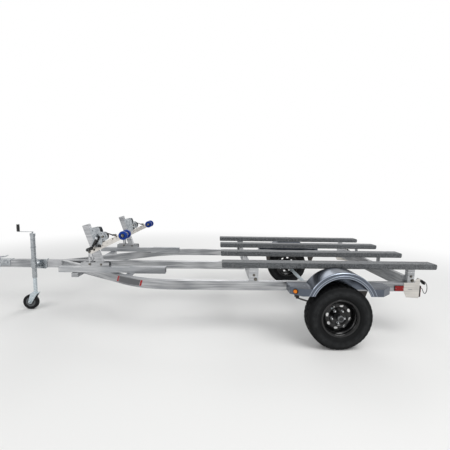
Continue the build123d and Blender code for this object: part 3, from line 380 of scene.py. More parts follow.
@dataclass(frozen=True)
class Enamel(Finish):
    """Sprayed gloss enamel on steel: a clear coat, a slight orange peel, and a dusting that dulls the gloss.
    """

    patch: Speckle = Speckle(40.0, 6.0)
    tones: tuple[float, float] = (0.45, 0.75)
    dulling: tuple[float, float] = (0.4, 0.75)
    swing: tuple[float, float] = (0.0, 0.18)
    grain: Speckle = Speckle(3.0, 1.0)
    depth_mm: float = 0.04
    strength: float = 0.3
    sockets: tuple[tuple[str, float], ...] = (
        ("Specular IOR Level", 0.3), ("Coat Weight", 0.35), ("Coat Roughness", 0.06))


@dataclass(frozen=True)
class Rubber(Finish):
    """Moulded rubber: matt, with a faint bloom that greys broad patches, and a fine pore."""

    patch: Speckle = Speckle(60.0, 5.0)
    tones: tuple[float, float] = (0.35, 0.7)
    swing: tuple[float, float] = (0.08, 0.06)
    grain: Speckle = Speckle(0.9, 2.0)
    depth_mm: float = 0.12
    sockets: tuple[tuple[str, float], ...] = (("Specular IOR Level", 0.14),)


@dataclass(frozen=True)
class TyreRubber(Rubber):
    """Tyre rubber: a lighter band in patches round the middle of the wall, darker by the tread and by the
    rim.
    """

    axle_x: float = 1.747
    axle_z: float = 0.345
    band_rise: tuple[float, float] = (0.235, 0.262)
    band_fall: tuple[float, float] = (0.318, 0.292)
    # patches of the lighter band round the middle of the wall
    band_patches: Speckle = Speckle(35.0, 5.0)
    band_patch_range: tuple[float, float] = (0.3, 0.75)
    least_band: float = 0.25

    def share(self, tree: Tree, place: Socket, patches: Socket) -> Socket:
        """A lighter band in patches, by the distance from the axle's line.

        Args:
            tree: the material's node tree.
            place: Object coordinates, in metres.
            patches: the rubber's own bloom, which the lighter band hides; not used.

        Returns:
            The lighter colour's share.
        """
        reach = distance_from_line(tree, place, self.axle_x, self.axle_z)
        low, high = self.band_patch_range
        band_patches = add_node(tree, "ShaderNodeMapRange",
                        {"From Min": low, "From Max": high, "To Min": self.least_band},
                        {"Value": self.band_patches.draw(tree, place)})
        for start, end in (self.band_rise, self.band_fall):
            ramp = add_node(tree, "ShaderNodeMapRange", {"From Min": start, "From Max": end},
                            {"Value": reach})
            band_patches = add_node(tree, "ShaderNodeMath", {"operation": "MULTIPLY"}, {0: band_patches, 1: ramp})
        return band_patches


@dataclass(frozen=True)
class BunkCarpet(Finish):
    """Needle-punched marine carpet: heathered charcoal yarns, darker between the loops as painted shade,
    slight sheen.

    The drawn yarn is coarser than the real 1 mm one, to show.
    """

    patch: Speckle = Speckle(7.0, 4.0)
    tones: tuple[float, float] = (0.18, 0.36)
    grain: Speckle = Speckle(3.2, 2.0)
    depth_mm: float = 1.2
    strength: float = 0.8
    sockets: tuple[tuple[str, float], ...] = (("Sheen Weight", 0.25), ("Sheen Roughness", 0.6))

    def patches(self, tree: Tree, place: Socket) -> Socket:
        """The yarn and the heather together mix light and dark; the yarn also gives the relief, so its dark
        low places are painted shade.
        """
        return add_node(tree, "ShaderNodeMath", {"operation": "MULTIPLY"},
                        {0: self.grain.draw(tree, place), 1: self.patch.draw(tree, place)})


@dataclass(frozen=True)
class Webbing(Finish):
    """Woven polyester webbing: ribs across the strap, and yarns of two tones."""

    patch: Speckle = Speckle(1.5, 2.0)
    depth_mm: float = 0.5
    strength: float = 0.7
    rib_mm: float = 2.4
    waves_per_unit: float = 20.0

    def heights(self, tree: Tree, place: Socket) -> Socket:
        """Waves are the ribs."""
        bands = {"wave_type": "BANDS", "bands_direction": "Y",
                 "Scale": per_metre(self.rib_mm) / self.waves_per_unit}
        return add_node(tree, "ShaderNodeTexWave", bands, {"Vector": place}, "Fac")


@dataclass(frozen=True)
class Moulded(Finish):
    """Injection-moulded plastic: soft gloss, and the mould's spark grain as a fine relief."""


@dataclass(frozen=True)
class Lens(Finish):
    """Clear-coloured acrylic lens: gloss outside, with moulded prisms behind that tint light and dark."""

    tones: tuple[float, float] = (0.1, 0.5)
    depth_mm: float = 0.3
    strength: float = 0.3
    sockets: tuple[tuple[str, float], ...] = (
        ("Specular IOR Level", 0.25), ("Coat Weight", 0.12), ("Coat Roughness", 0.03))
    prism_mm: float = 5.0

    def patches(self, tree: Tree, place: Socket) -> Socket:
        """Small square prisms."""
        squares = {"distance": "CHEBYCHEV", "Scale": per_metre(self.prism_mm), "Randomness": 0.0}
        return add_node(tree, "ShaderNodeTexVoronoi", squares, {"Vector": place}, "Distance")

    def heights(self, tree: Tree, place: Socket) -> Socket:
        """The prisms stand out as well."""
        return self.patches(tree, place)


MILL_ALUMINIUM = MillAluminium("mill_aluminium", "BEBFC1", "86888B", 0.36)
BRIGHT_ALUMINIUM = MillAluminium("bright_aluminium", "C0C1C3", "979A9E", 0.34)
CLEAN_ALUMINIUM = MillAluminium("clean_aluminium", "DAD6D0", "BFBCB8", 0.34)
FENDER_SHEET = BeadedSheet("fender_sheet", "636973", "5A606A", 0.25)
AGED_ZINC = ZincPlate("aged_zinc", "77736C", "625F59", 0.36)
ZINC_PLATE = ZincPlate("bright_zinc", "B4B8BB", "93989C", 0.24)
CAP_STEEL = ZincPlate("cap_steel", "77797B", "5E6062", 0.34)
CHROME = ZincPlate("bright_chrome", "CFD1D3", "B8BBBE", 0.14)
BRASS = ZincPlate("lamp_brass", "B08D45", "8F6E30", 0.25)
GALVANISED = HotDipZinc("hot_dip_zinc", "D2DBDF", "B2BCC2", 0.42)
SPRING_STEEL = HotDipZinc("leaf_spring_steel", "373533", "48433F", 0.55, 0.5)
RIM_ENAMEL = Enamel("black_enamel", "050506", "0B0B0C", 0.14)
HUB_CASTING = Enamel("hub_casting", "1A1B1C", "262728", 0.38)
TYRE_RUBBER = TyreRubber("black_tyre_rubber", "101112", "2A2B2C", 0.66)
CASTER_RUBBER = Rubber("caster_rubber", "161617", "222223", 0.6)
BOW_ROLLER = Rubber("blue_roller", "0C2A72", "13398A", 0.36)
BUNK_CARPET = BunkCarpet("bunk_carpet", "16181A", "76797C", 0.95)
STRAP_WEB = Webbing("black_webbing", "0D0D0E", "1C1C1E", 0.85)
BLACK_GRIP = Moulded("black_grip", "101011", "18181A", 0.45)
SIGN_FILM = Moulded("dark_film", "505154", "5A5B5E", 0.35)
RED_FILM = Moulded("red_film", "A01318", "8C0F14", 0.35)
GREY_NYLON = Moulded("grey_nylon", "4A4C4E", "5A5C5E", 0.5)
RED_LENS = Lens("red_lens", "6A0306", "900609", 0.16)
AMBER_LENS = Lens("amber_lens", "B3500A", "F08A1C", 0.12)


# Modelling

def clear_selection() -> None:
    """Deselects every object, leaving edit mode first."""
    if bpy.context.object is not None and bpy.context.object.mode != "OBJECT":
        bpy.ops.object.mode_set(mode="OBJECT")
    bpy.ops.object.select_all(action="DESELECT")


def pick(*objects: Object) -> None:
    """Selects just these objects, the first one active."""
    clear_selection()
    for obj in objects:
        obj.select_set(True)
    bpy.context.view_layer.objects.active = objects[0]


def settle() -> Object:
    """Writes the active object's place into its mesh, so that its origin is the row frame's.

    Returns:
        The active object.
    """
    obj = bpy.context.object
    pick(obj)
    bpy.ops.object.transform_apply(location=True, rotation=True, scale=True)
    return obj


def edit(obj: Object) -> bmesh.types.BMesh:
    """Opens an object in edit mode with nothing selected.

    Args:
        obj: the object.

    Returns:
        Its edit mesh.
    """
    pick(obj)
    bpy.ops.object.mode_set(mode="EDIT")
    bpy.ops.mesh.select_all(action="DESELECT")
    return bmesh.from_edit_mesh(obj.data)


def modify(obj: Object, kind: str, **settings: Any) -> None:
    """Puts a modifier on an object and applies it.

    Args:
        obj: the object.
        kind: the modifier's type.
        settings: its attributes.
    """
    pick(obj)
    modifier = obj.modifiers.new(kind.lower(), kind)
    for name, value in settings.items():
        setattr(modifier, name, value)
    bpy.ops.object.modifier_apply(modifier=modifier.name)


def soften(obj: Object, width: float, segments: int = 2, angle: float = 35.0) -> None:
    """Rounds the edges of an object that are sharper than an angle."""
    modify(obj, "BEVEL", width=width, segments=segments, limit_method="ANGLE",
           angle_limit=math.radians(angle))


def new_block(low: Iterable[float], high: Iterable[float], bevel: float = 0.0, segments: int = 2) -> Object:
    """Box between two corners, with rounded edges.

    Args:
        low: its lowest corner, in metres.
        high: its highest corner.
        bevel: width of the rounding.
        segments: how many faces the rounding has.

    Returns:
        The new object.
    """
    low, high = Vector(low), Vector(high)
    clear_selection()
    bpy.ops.mesh.primitive_cube_add(size=1.0, location=(low + high) / 2)
    bpy.context.object.scale = high - low
    obj = settle()
    if bevel:
        soften(obj, bevel, segments)
    return obj


def new_bar(centre: Sequence[float], radius: float, length: float, axis: Axis | Vector,
            sides: int = 32, bevel: float = 0.0) -> Object:
    """Round or many-sided bar about a centre.

    Args:
        centre: its middle, in metres.
        radius: to its corners.
        length: along the axis.
        axis: a row axis, or any direction.
        sides: how many sides it has.
        bevel: width of the rounding at its ends.

    Returns:
        The new object.
    """
    turn = axis.turn() if isinstance(axis, Axis) else axis.to_track_quat("Z", "Y").to_euler()
    clear_selection()
    bpy.ops.mesh.primitive_cylinder_add(vertices=sides, radius=radius, depth=length, location=centre,
                                        rotation=turn)
    obj = settle()
    if bevel:
        soften(obj, bevel)
    return obj


def lathe(profile: Profile, steps: int, centre: Vector = ORIGIN, out: int = 1, ring: bool = False) -> Object:
    """Turns a profile about a line along Y.

    Args:
        profile: distance along Y from the centre, and radius, of each point.
        steps: how many steps the full turn has.
        centre: a point on the line.
        out: 1 or -1, which way along Y the distances count.
        ring: whether the profile goes back to its first point; otherwise its ends are on the line.

    Returns:
        The turned object.
    """
    points = [(out * across, radius) for across, radius in profile]
    if ring:
        points.append(points[0])
    clear_selection()
    bpy.ops.mesh.primitive_plane_add(size=0.01, location=centre)
    settle()
    bpy.ops.object.mode_set(mode="EDIT")
    bpy.ops.mesh.select_all(action="SELECT")
    bpy.ops.mesh.merge(type="CENTER")
    bpy.ops.transform.translate(value=(0, *points[0]))
    for (across, radius), (next_across, next_radius) in zip(points, points[1:]):
        step = (0, next_across - across, next_radius - radius)
        bpy.ops.mesh.extrude_region_move(TRANSFORM_OT_translate={"value": step})
    bpy.ops.mesh.select_all(action="SELECT")
    bpy.ops.mesh.spin(steps=steps, angle=2 * math.pi, center=centre, axis=(0, 1, 0))
    bpy.ops.mesh.select_all(action="SELECT")
    bpy.ops.mesh.remove_doubles(threshold=0.00002)
    bpy.ops.mesh.normals_make_consistent(inside=False)
    bpy.ops.object.mode_set(mode="OBJECT")
    return bpy.context.object


def aimed(obj: Object, spot: Iterable[float], line: Vector) -> Object:
    """Turns a piece that was made about the row's Y axis to another line, and moves it.

    Args:
        obj: the piece.
        spot: where its origin comes to lie.
        line: unit vector that its Y axis comes to lie along.

    Returns:
        The piece.
    """
    turn = Axis.Y.unit().rotation_difference(line).to_matrix().to_4x4()
    obj.data.transform(Matrix.Translation(spot) @ turn)
    return obj


def smooth(obj: Object, angle: float) -> None:
    """Shades an object smooth below an angle."""
    pick(obj)
    bpy.ops.object.shade_smooth_by_angle(angle=math.radians(angle))


def joined(name: str, parts: Sequence[Object]) -> Object:
    """Joins parts into one object.

    Args:
        name: the object's name.
        parts: what it is made of.

    Returns:
        The object.
    """
    pick(*parts)
    if len(parts) > 1:
        bpy.ops.object.join()
    parts[0].name = name
    parts[0].data.name = name
    return parts[0]


def dress(obj: Object, finish: Finish) -> None:
    """Gives an object one finish."""
    obj.data.materials.clear()
    obj.data.materials.append(finish.material())


def piece(name: str, parts: Sequence[Object], finish: Finish, body: str, slot: str, *nodes: str,
          angle: float | None = 30.0) -> Object:
    """Makes one finished piece.

    Args:
        name: its name.
        parts: what it is made of.
        finish: its surface.
        body: the CAD body that it rides on.
        slot: the record's material slot; not used.
        nodes: CAD nodes that it replaces.
        angle: edges below this many degrees are shaded smooth; None leaves the shading as it is.

    Returns:
        The piece.
    """
    obj = joined(name, parts)
    if angle is not None:
        smooth(obj, angle)
    dress(obj, finish)
    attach(obj, body)
    if nodes:
        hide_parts(*nodes)
    LOG.info("%s: %d faces, on %s", name, len(obj.data.polygons), body)
    return obj


def pair(name: str, parts: Sequence[Object], finish: Finish, slot: str, *nodes: str,
         angle: float | None = 30.0) -> None:
    """Makes a finished piece on the chassis's left, and the same mirrored on its right.

    Args:
        name: their name, without the side.
        parts: what the left one is made of.
        finish: their surface.
        slot: the record's material slot.
        nodes: CAD nodes that the left one replaces.
        angle: edges below this many degrees are shaded smooth; None leaves the shading as it is.
    """
    pick(piece(f"{name}_left", parts, finish, "chassis", slot, *nodes, angle=angle))
    bpy.ops.object.duplicate(linked=False)
    right = bpy.context.object
    right.data.transform(Matrix.Diagonal((1, -1, 1, 1)))
    right.data.flip_normals()
    piece(f"{name}_right", [right], finish, "chassis", slot, angle=None)


def hex_nut(seat: Vector, axis: Axis, outward: int, radius: float, washer_radius: float) -> list[Object]:
    """Nut on its washer, seated on a face.

    Args:
        seat: where the bolt's line meets the face.
        axis: the bolt's line.
        outward: 1 or -1, which way along the axis the nut stands.
        radius: the nut's, to its corners.
        washer_radius: the washer's.

    Returns:
        The washer and the nut.
    """
    out = axis.unit() * outward
    return [new_bar(seat + out * 0.001, washer_radius, 0.002, axis, 24),
            new_bar(seat + out * 0.006, radius, 0.008, axis, 6, 0.0008)]


def hex_bolt(seat: Iterable[float], axis: Axis, outward: int, across: float = 0.019) -> list[Object]:
    """Bolt head with its washer, seated on a face.

    Args:
        seat: where the bolt's line meets the face.
        axis: the bolt's line.
        outward: 1 or -1, which way along the axis the head stands.
        across: the head's width across flats, in metres.

    Returns:
        The washer and the head.
    """
    seat = Vector(seat)
    out = axis.unit() * outward
    washer_height = 0.002
    head_height = across * 0.42
    washer = new_bar(seat + out * washer_height / 2, across * 0.78, washer_height, axis, 28)
    head = new_bar(seat + out * (washer_height + head_height / 2), across / math.sqrt(3), head_height,
                   axis, 6, across * 0.06)
    return [washer, head]


@dataclass
class Studio:
    """Camera, floor and soft light."""

    camera_place: tuple[float, float, float] = (0.4335, -3.9152, 1.6064)
    camera_yaw: float = 0.0332
    camera_pitch: float = 0.1081
    camera_roll: float = 0.0187
    lens_mm: float = 22.288
    floor_size: float = 80.0
    fade_start: float = 2.6
    fade_end: float = 9.0
    floor_colour: str = "EFEEEC"
    sky_colour: tuple[float, float, float, float] = (0.96, 0.98, 1.0, 1.0)
    sky_strength: float = 0.55
    lamp_aim: tuple[float, float, float] = (0.2, 0.0, 0.4)
    # name, place, size in metres, watts: a large key from the right, a fill from the left, and one behind
    lamp_table: tuple[tuple[str, tuple[float, float, float], float, float], ...] = (
        ("key", (3.5, -3.5, 5.5), 3.5, 190.0), ("fill", (-4.5, -4.0, 3.5), 4.0, 90.0),
        ("back", (1.0, 5.0, 5.0), 4.0, 110.0))

    def build(self) -> None:
        """Makes the camera first, then the floor, the world and the lamps."""
        self.camera()
        self.floor()
        self.world()
        self.lamps()
        bpy.context.scene.view_settings.view_transform = "Standard"

    def camera(self) -> None:
        """Camera at the photograph's viewing angle."""
        data = bpy.data.cameras.new("camera")
        data.lens = self.lens_mm
        data.sensor_width = 36.0
        data.clip_end = 200.0
        camera = bpy.data.objects.new("camera", data)
        bpy.context.scene.collection.objects.link(camera)
        yaw, pitch, roll = self.camera_yaw, self.camera_pitch, self.camera_roll
        level = Vector((math.sin(yaw), math.cos(yaw), 0))
        right = Vector((math.cos(yaw), -math.sin(yaw), 0))
        ahead = math.cos(pitch) * level - math.sin(pitch) * ALONG_Z
        above = math.sin(pitch) * level + math.cos(pitch) * ALONG_Z
        rolled_right = math.cos(roll) * right + math.sin(roll) * above
        rolled_up = -math.sin(roll) * right + math.cos(roll) * above
        turn = Matrix((rolled_right, rolled_up, -ahead)).transposed()
        camera.matrix_world = Matrix.Translation(self.camera_place) @ turn.to_4x4()
        bpy.context.scene.camera = camera

    def floor(self) -> None:
        """Pale floor that keeps the trailer's shadow and runs out to white, with no edge at the horizon."""
        clear_selection()
        bpy.ops.mesh.primitive_plane_add(size=self.floor_size, location=(0, 0, -0.0005))
        floor = bpy.context.object
        floor.name = "floor"
        material = bpy.data.materials.new("studio_floor")
        material.use_nodes = True
        tree = material.node_tree
        shader = own_node(tree, "BSDF_PRINCIPLED")
        shader.inputs["Base Color"].default_value = linear(self.floor_colour)
        shader.inputs["Roughness"].default_value = 0.9
        shader.inputs["Specular IOR Level"].default_value = 0.1
        spot = add_node(tree, "ShaderNodeTexCoord", output="Object")
        reach = add_node(tree, "ShaderNodeVectorMath", {"operation": "LENGTH"}, {0: spot}, "Value")
        fade = {"interpolation_type": "SMOOTHSTEP", "From Min": self.fade_start, "From Max": self.fade_end}
        share = add_node(tree, "ShaderNodeMapRange", fade, {"Value": reach})
        white = add_node(tree, "ShaderNodeEmission", {"Color": (1, 1, 1, 1), "Strength": 1.0})
        mixed = add_node(tree, "ShaderNodeMixShader", {}, {0: share, 1: shader.outputs[0], 2: white})
        tree.links.new(mixed, own_node(tree, "OUTPUT_MATERIAL").inputs["Surface"])
        floor.data.materials.append(material)

    def world(self) -> None:
        """Soft grey light from all round, and a white background to the camera and in reflections."""
        world = bpy.data.worlds.new("studio")
        world.use_nodes = True
        tree = world.node_tree
        rays = add_node(tree, "ShaderNodeLightPath").node.outputs
        seen = add_node(tree, "ShaderNodeMath", {"operation": "MAXIMUM"},
                        {0: rays["Is Camera Ray"], 1: rays["Is Glossy Ray"]})
        shown = add_node(tree, "ShaderNodeMath", {"operation": "MAXIMUM"},
                         {0: seen, 1: rays["Is Transmission Ray"]})
        light = own_node(tree, "BACKGROUND")
        light.inputs["Color"].default_value = self.sky_colour
        light.inputs["Strength"].default_value = self.sky_strength
        white = add_node(tree, "ShaderNodeBackground", {"Color": (1, 1, 1, 1), "Strength": 1.0})
        both = add_node(tree, "ShaderNodeMixShader", {}, {0: shown, 1: light.outputs[0], 2: white})
        tree.links.new(both, own_node(tree, "OUTPUT_WORLD").inputs["Surface"])
        bpy.context.scene.world = world

    def lamps(self) -> None:
        """Square lamps that look at the trailer's middle."""
        for name, spot, size, power in self.lamp_table:
            data = bpy.data.lights.new(name, "AREA")
            data.shape = "SQUARE"
            data.size = size
            data.energy = power
            lamp = bpy.data.objects.new(name, data)
            bpy.context.scene.collection.objects.link(lamp)
            lamp.location = spot
            lamp.rotation_euler = (Vector(self.lamp_aim) - Vector(spot)).to_track_quat("-Z", "Y").to_euler()


@dataclass
class CarriedNodes:
    """The CAD nodes' finishes; most keep their shape, and pieces of the same finish replace the rest."""

    finishes: dict[Finish, str] = field(default_factory=lambda: {
        MILL_ALUMINIUM: "tongue rail_left rail_right crossmember_front crossmember_rear "
                        "winch_beam_outriggers winch_stand_left winch_stand_right bunk_brackets_rear",
        BRIGHT_ALUMINIUM: "winch_sleeves winch_beam_left winch_beam_right bunk_brackets_front",
        CLEAN_ALUMINIUM: "bow_arm_left bow_arm_right lamp_plates",
        FENDER_SHEET: "fender_left fender_right",
        ZINC_PLATE: "coupler coupler_latch winch_frames winch_drums winch_cranks "
                    "jack_mount jack_tube jack_crank",
        STRAP_WEB: "winch_straps",
        BLACK_GRIP: "winch_pawls lamp_leads",
        GALVANISED: "jack_leg axle_tube",
        SPRING_STEEL: "leaf_springs spring_hangers",
        RIM_ENAMEL: "rim_left rim_right",
        HUB_CASTING: "hub_left hub_right",
        TYRE_RUBBER: "tyre_left tyre_right",
        CASTER_RUBBER: "jack_wheel",
        BOW_ROLLER: "bow_wheels_left bow_wheels_right",
        RED_LENS: "tail_lamps marker_lamps_red",
        AMBER_LENS: "marker_lamps_amber",
        BUNK_CARPET: "bunk_outer_left bunk_inner_left bunk_inner_right bunk_outer_right",
    })

    def build(self) -> None:
        """Dresses each node and shades it smooth where it is round."""
        for finish, names in self.finishes.items():
            for name in names.split():
                dress(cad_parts[name], finish)
                smooth(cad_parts[name], 30.0)


@dataclass
class Bunks:
    """Boards wrapped in carpet."""

    names: tuple[str, ...] = ("bunk_outer_left", "bunk_inner_left", "bunk_inner_right", "bunk_outer_right")
    wrap_thickness: float = 0.004
    rise: float = 0.009
    nose: float = 0.026
    corner: float = 0.009
    voxel: float = 0.006
    # name, size and height of the pile's unevenness
    unevenness: tuple[tuple[str, float, float], ...] = (("lumps", 0.05, 0.0022), ("fuzz", 0.008, 0.0016))

    def build(self) -> None:
        """Makes each board's carpet in turn."""
        for name in self.names:
            self.wrap(name)

    def wrap(self, node: str) -> None:
        """Carpet over one board, with a rounded rear end and an uneven pile.

        Args:
            node: the board's CAD node.
        """
        low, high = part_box(node)
        board = new_block(low - Vector((self.wrap_thickness, self.wrap_thickness, 0.001)),
                          high + Vector((self.wrap_thickness, self.wrap_thickness, self.rise)))
        mesh = edit(board)
        for edge in mesh.edges:
            edge.select = all(corner.co.x > high.x - 0.01 for corner in edge.verts)
        bmesh.update_edit_mesh(board.data)
        bpy.ops.mesh.bevel(offset=self.nose, segments=8, affect="EDGES")
        bpy.ops.object.mode_set(mode="OBJECT")
        soften(board, self.corner, 4, 50.0)
        modify(board, "REMESH", mode="VOXEL", voxel_size=self.voxel * 1)
        for label, size, height in self.unevenness:
            texture = bpy.data.textures.new(f"{node}_{label}", "CLOUDS")
            texture.noise_scale = size
            texture.noise_depth = 2
            modify(board, "DISPLACE", texture=texture, texture_coords="LOCAL", strength=height, mid_level=0.7)
        piece(f"{node}_carpet", [board], BUNK_CARPET, "chassis", "carpet_charcoal", node, angle=60.0)


@dataclass
class RoadWheel:
    """Tyre with its tread, and the rim, nuts, cap and valve of one road wheel."""

    side: Side
    steps: int = 120
    rib_edges: tuple[float, ...] = (0.071, 0.046, 0.039, 0.0145, 0.0075)
    rib_slope: float = 0.001
    groove_depth: float = 0.007
    block_edge: float = 0.0865
    block_depth: float = 0.0045
    rim_steps: int = 96
    rim_radius: float = 0.1905
    flange_radius: float = 0.206
    rim_half: float = 0.080
    rim_wall: float = 0.004
    well_depth: float = 0.022
    disc_thickness: float = 0.005
    window_count: int = 8
    window_first_angle: float = 34.0
    window_circle: float = 0.124
    window_half_width: float = 0.021
    window_half_height: float = 0.014
    lug_count: int = 5
    lug_circle: float = 0.06985
    lug_first_angle: float = -90.0
    lug_radius: float = 0.0125
    cap_radius: float = 0.031
    valve_angle: float = 112.0
    valve_circle: float = 0.1745
    valve_lean: float = 0.35

    def build(self) -> None:
        """Makes the wheel's pieces in the place of the CAD tyre."""
        low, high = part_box(f"tyre_{self.side.word}")
        self.centre = (low + high) / 2
        self.radius = (high.z - low.z) / 2
        self.half = (high.y - low.y) / 2
        self.tyre()
        self.rim()
        self.nuts()
        self.cap()
        self.valve()

    def add(self, name: str, parts: Sequence[Object], finish: Finish, slot: str, *nodes: str,
            angle: float = 30.0) -> None:
        """Finishes a piece of this wheel, as `piece` does."""
        piece(name, parts, finish, f"wheel_{self.side.word}", slot, *nodes, angle=angle)

    def wall(self) -> Profile:
        """Outer side of the tyre's wall, from the shoulder to the bead.

        Returns:
            Its points, as distance across and radius.
        """
        top, low = self.radius, self.flange_radius
        return [
            (0.0805, top - 0.0085), (0.0855, top - 0.0145), (0.0885, top - 0.0225), (0.0900, top - 0.0230),
            (0.0925, top - 0.0310), (0.0915, top - 0.0320), (0.0955, top - 0.0440),
            (self.half - 0.0030, top - 0.0560), (self.half - 0.0010, top - 0.0640), (self.half, top - 0.0660),
            (self.half - 0.0005, low + 0.0560), (self.half - 0.0020, low + 0.0550),
            (self.half - 0.0045, low + 0.0380), (0.0945, low + 0.0280),
            (0.0945, low + 0.0250), (0.0900, low + 0.0200), (0.0890, low + 0.0120), (0.0860, low + 0.0075),
            (0.0800, low + 0.0030), (0.0680, low - 0.0020), (0.0675, self.rim_radius + 0.0005)]

    def tread(self) -> Profile:
        """Half of the tread from the middle outwards: ribs and grooves.

        Returns:
            Its points, as distance across and radius.
        """
        shoulder, first_out, first_in, second_out, second_in = self.rib_edges
        top, slope = self.radius, self.rib_slope
        floor = top - self.groove_depth
        return [(second_in, floor), (second_out, floor), (second_out + slope, top), (first_in, top - 0.0008),
                (first_in + slope, floor), (first_out, floor), (first_out + slope, top - 0.001),
                (shoulder, top - 0.0040)]

    def tyre(self) -> None:
        """Turned carcass whose ribs are cut into blocks."""
        outside = [(0.0, self.radius), (self.rib_edges[-1] - self.rib_slope, self.radius),
                   *self.tread(), *self.wall()]
        inside = [(0.0575, self.rim_radius + 0.0005), (0.0610, self.flange_radius + 0.014),
                  (self.half - 0.0110, self.flange_radius + 0.046), (self.half - 0.0110, self.radius - 0.056),
                  (0.0600, self.radius - 0.0150), (0.0, self.radius - 0.0150)]
        half = outside + inside
        other = [(-across, radius) for across, radius in reversed(half[1:-1])]
        tyre = lathe(half + other, self.steps, self.centre, ring=True)
        self.cut_blocks(tyre)
        word = self.side.word
        self.add(f"tyre_{word}_tread", [tyre], TYRE_RUBBER, "tyre_rubber", f"tyre_{word}", angle=28.0)

    def cut_blocks(self, tyre: Object) -> None:
        """Sinks every third face of the shoulder ribs, and every fourth of the middle ribs, staggered.

        Args:
            tyre: the turned carcass.
        """
        mesh = edit(tyre)
        _, first_out, first_in, second_out, _ = self.rib_edges
        turn = 2 * math.pi / self.steps
        for face in mesh.faces:
            middle = face.calc_center_median() - self.centre
            across = abs(middle.y)
            index = round(math.atan2(middle.z, middle.x) / turn - 0.5)
            reach = math.hypot(middle.x, middle.z)
            outer = first_out < across < self.block_edge and reach > self.radius - 0.012
            inner = second_out < across < first_in and reach > self.radius - 0.003
            face.select_set((outer and index % 3 == 0) or (inner and index % 4 == (1 if middle.y > 0 else 3)))
        bmesh.update_edit_mesh(tyre.data)
        bpy.ops.mesh.extrude_region_shrink_fatten(TRANSFORM_OT_shrink_fatten={"value": -self.block_depth})
        bpy.ops.object.mode_set(mode="OBJECT")

    def rim(self) -> None:
        """Steel rim: rolled flanges, drop centre, crowned disc and eight pressed windows."""
        seat, half, wall, lip = self.rim_radius, self.rim_half, self.rim_wall, self.flange_radius
        well = seat - self.well_depth
        barrel = [(-half, lip), (0.008 - half, lip), (0.012 - half, seat), (0.034 - half, seat),
                  (0.050 - half, well), (half - 0.060, well), (half - 0.038, seat), (half - 0.012, seat),
                  (half - 0.008, lip), (half - 0.002, lip), (half, lip - 0.003), (half - 0.001, lip - 0.008),
                  (half - 0.006, seat - wall), (half - 0.014, seat - wall), (half - 0.018, seat - 2 * wall),
                  (half - 0.034, seat - 2 * wall), (half - 0.040, seat - 3 * wall), (half - 0.050, well),
                  (half - 0.062, well - wall), (0.052 - half, well - wall), (0.036 - half, seat - wall),
                  (-half, seat - wall)]
        shell = lathe(barrel, self.rim_steps, self.centre, self.side.value, ring=True)
        inner = [(0.0, 0.0412), (0.0, 0.0850), (0.0050, 0.0915), (0.0150, 0.1000), (0.0195, 0.1080),
                 (0.0200, 0.1200), (0.0185, 0.1300), (0.0130, 0.1420), (0.0040, 0.1540), (0.0, 0.1655)]
        outer = [(across + self.disc_thickness, radius) for across, radius in reversed(inner)]
        disc = lathe(inner + outer, self.rim_steps, self.centre, self.side.value, ring=True)
        self.cut_windows(disc)
        soften(disc, 0.0012, 2, 55.0)
        word = self.side.word
        self.add(f"wheel_rim_{word}", [shell, disc], RIM_ENAMEL, "rim_black", f"rim_{word}", angle=40.0)

    def cut_windows(self, disc: Object) -> None:
        """Cuts the oval windows, each longest round the wheel.

        Args:
            disc: the rim's disc.
        """
        cutters = []
        for index in range(self.window_count):
            angle = math.radians(self.window_first_angle + 360 * index / self.window_count)
            cutter = new_bar(self.centre + Vector((0, self.side.value * 0.012, 0)), self.window_half_height,
                             0.05, Axis.Y, 28)
            for step in (Matrix.Translation(-self.centre),
                         Matrix.Diagonal((1.0, 1.0, self.window_half_width / self.window_half_height, 1.0)),
                         Matrix.Translation((self.window_circle, 0, 0)), Matrix.Rotation(-angle, 4, "Y"),
                         Matrix.Translation(self.centre)):
                cutter.data.transform(step)
            cutters.append(cutter)
        tool = joined("window_cutters", cutters)
        modify(disc, "BOOLEAN", operation="DIFFERENCE", object=tool, solver="EXACT")
        bpy.data.objects.remove(tool)

    def spot(self, circle: float, angle: float, out: float) -> Vector:
        """A point by its distance from the axle's line, its angle in radians, and how far outboard it is."""
        return self.centre + Vector((circle * math.cos(angle), self.side.value * out,
                                     circle * math.sin(angle)))

    def nuts(self) -> None:
        """Acorn nuts on the studs."""
        made = []
        for index in range(self.lug_count):
            angle = math.radians(self.lug_first_angle + 360 * index / self.lug_count)
            cone, body, dome = (self.spot(self.lug_circle, angle, self.disc_thickness + out)
                                for out in (0.002, 0.013, 0.022))
            made += [new_bar(cone, self.lug_radius * 1.05, 0.004, Axis.Y, 24, 0.001),
                     new_bar(body, self.lug_radius, 0.018, Axis.Y, 6, 0.0012), self.dome(dome)]
        self.add(f"lug_nuts_{self.side.word}", made, CHROME, "hub_chrome")

    def dome(self, foot: Vector) -> Object:
        """Rounded end of an acorn nut.

        Args:
            foot: the middle of its base.

        Returns:
            The dome.
        """
        radius = self.lug_radius * 0.86
        height = radius * 0.75
        arc = [(height * math.sin(math.radians(angle)), radius * math.cos(math.radians(angle)))
               for angle in (20, 40, 60, 75)]
        return lathe([(0.0, 0.0), (0.0, radius), *arc, (height, 0.0)], 16, foot, self.side.value)

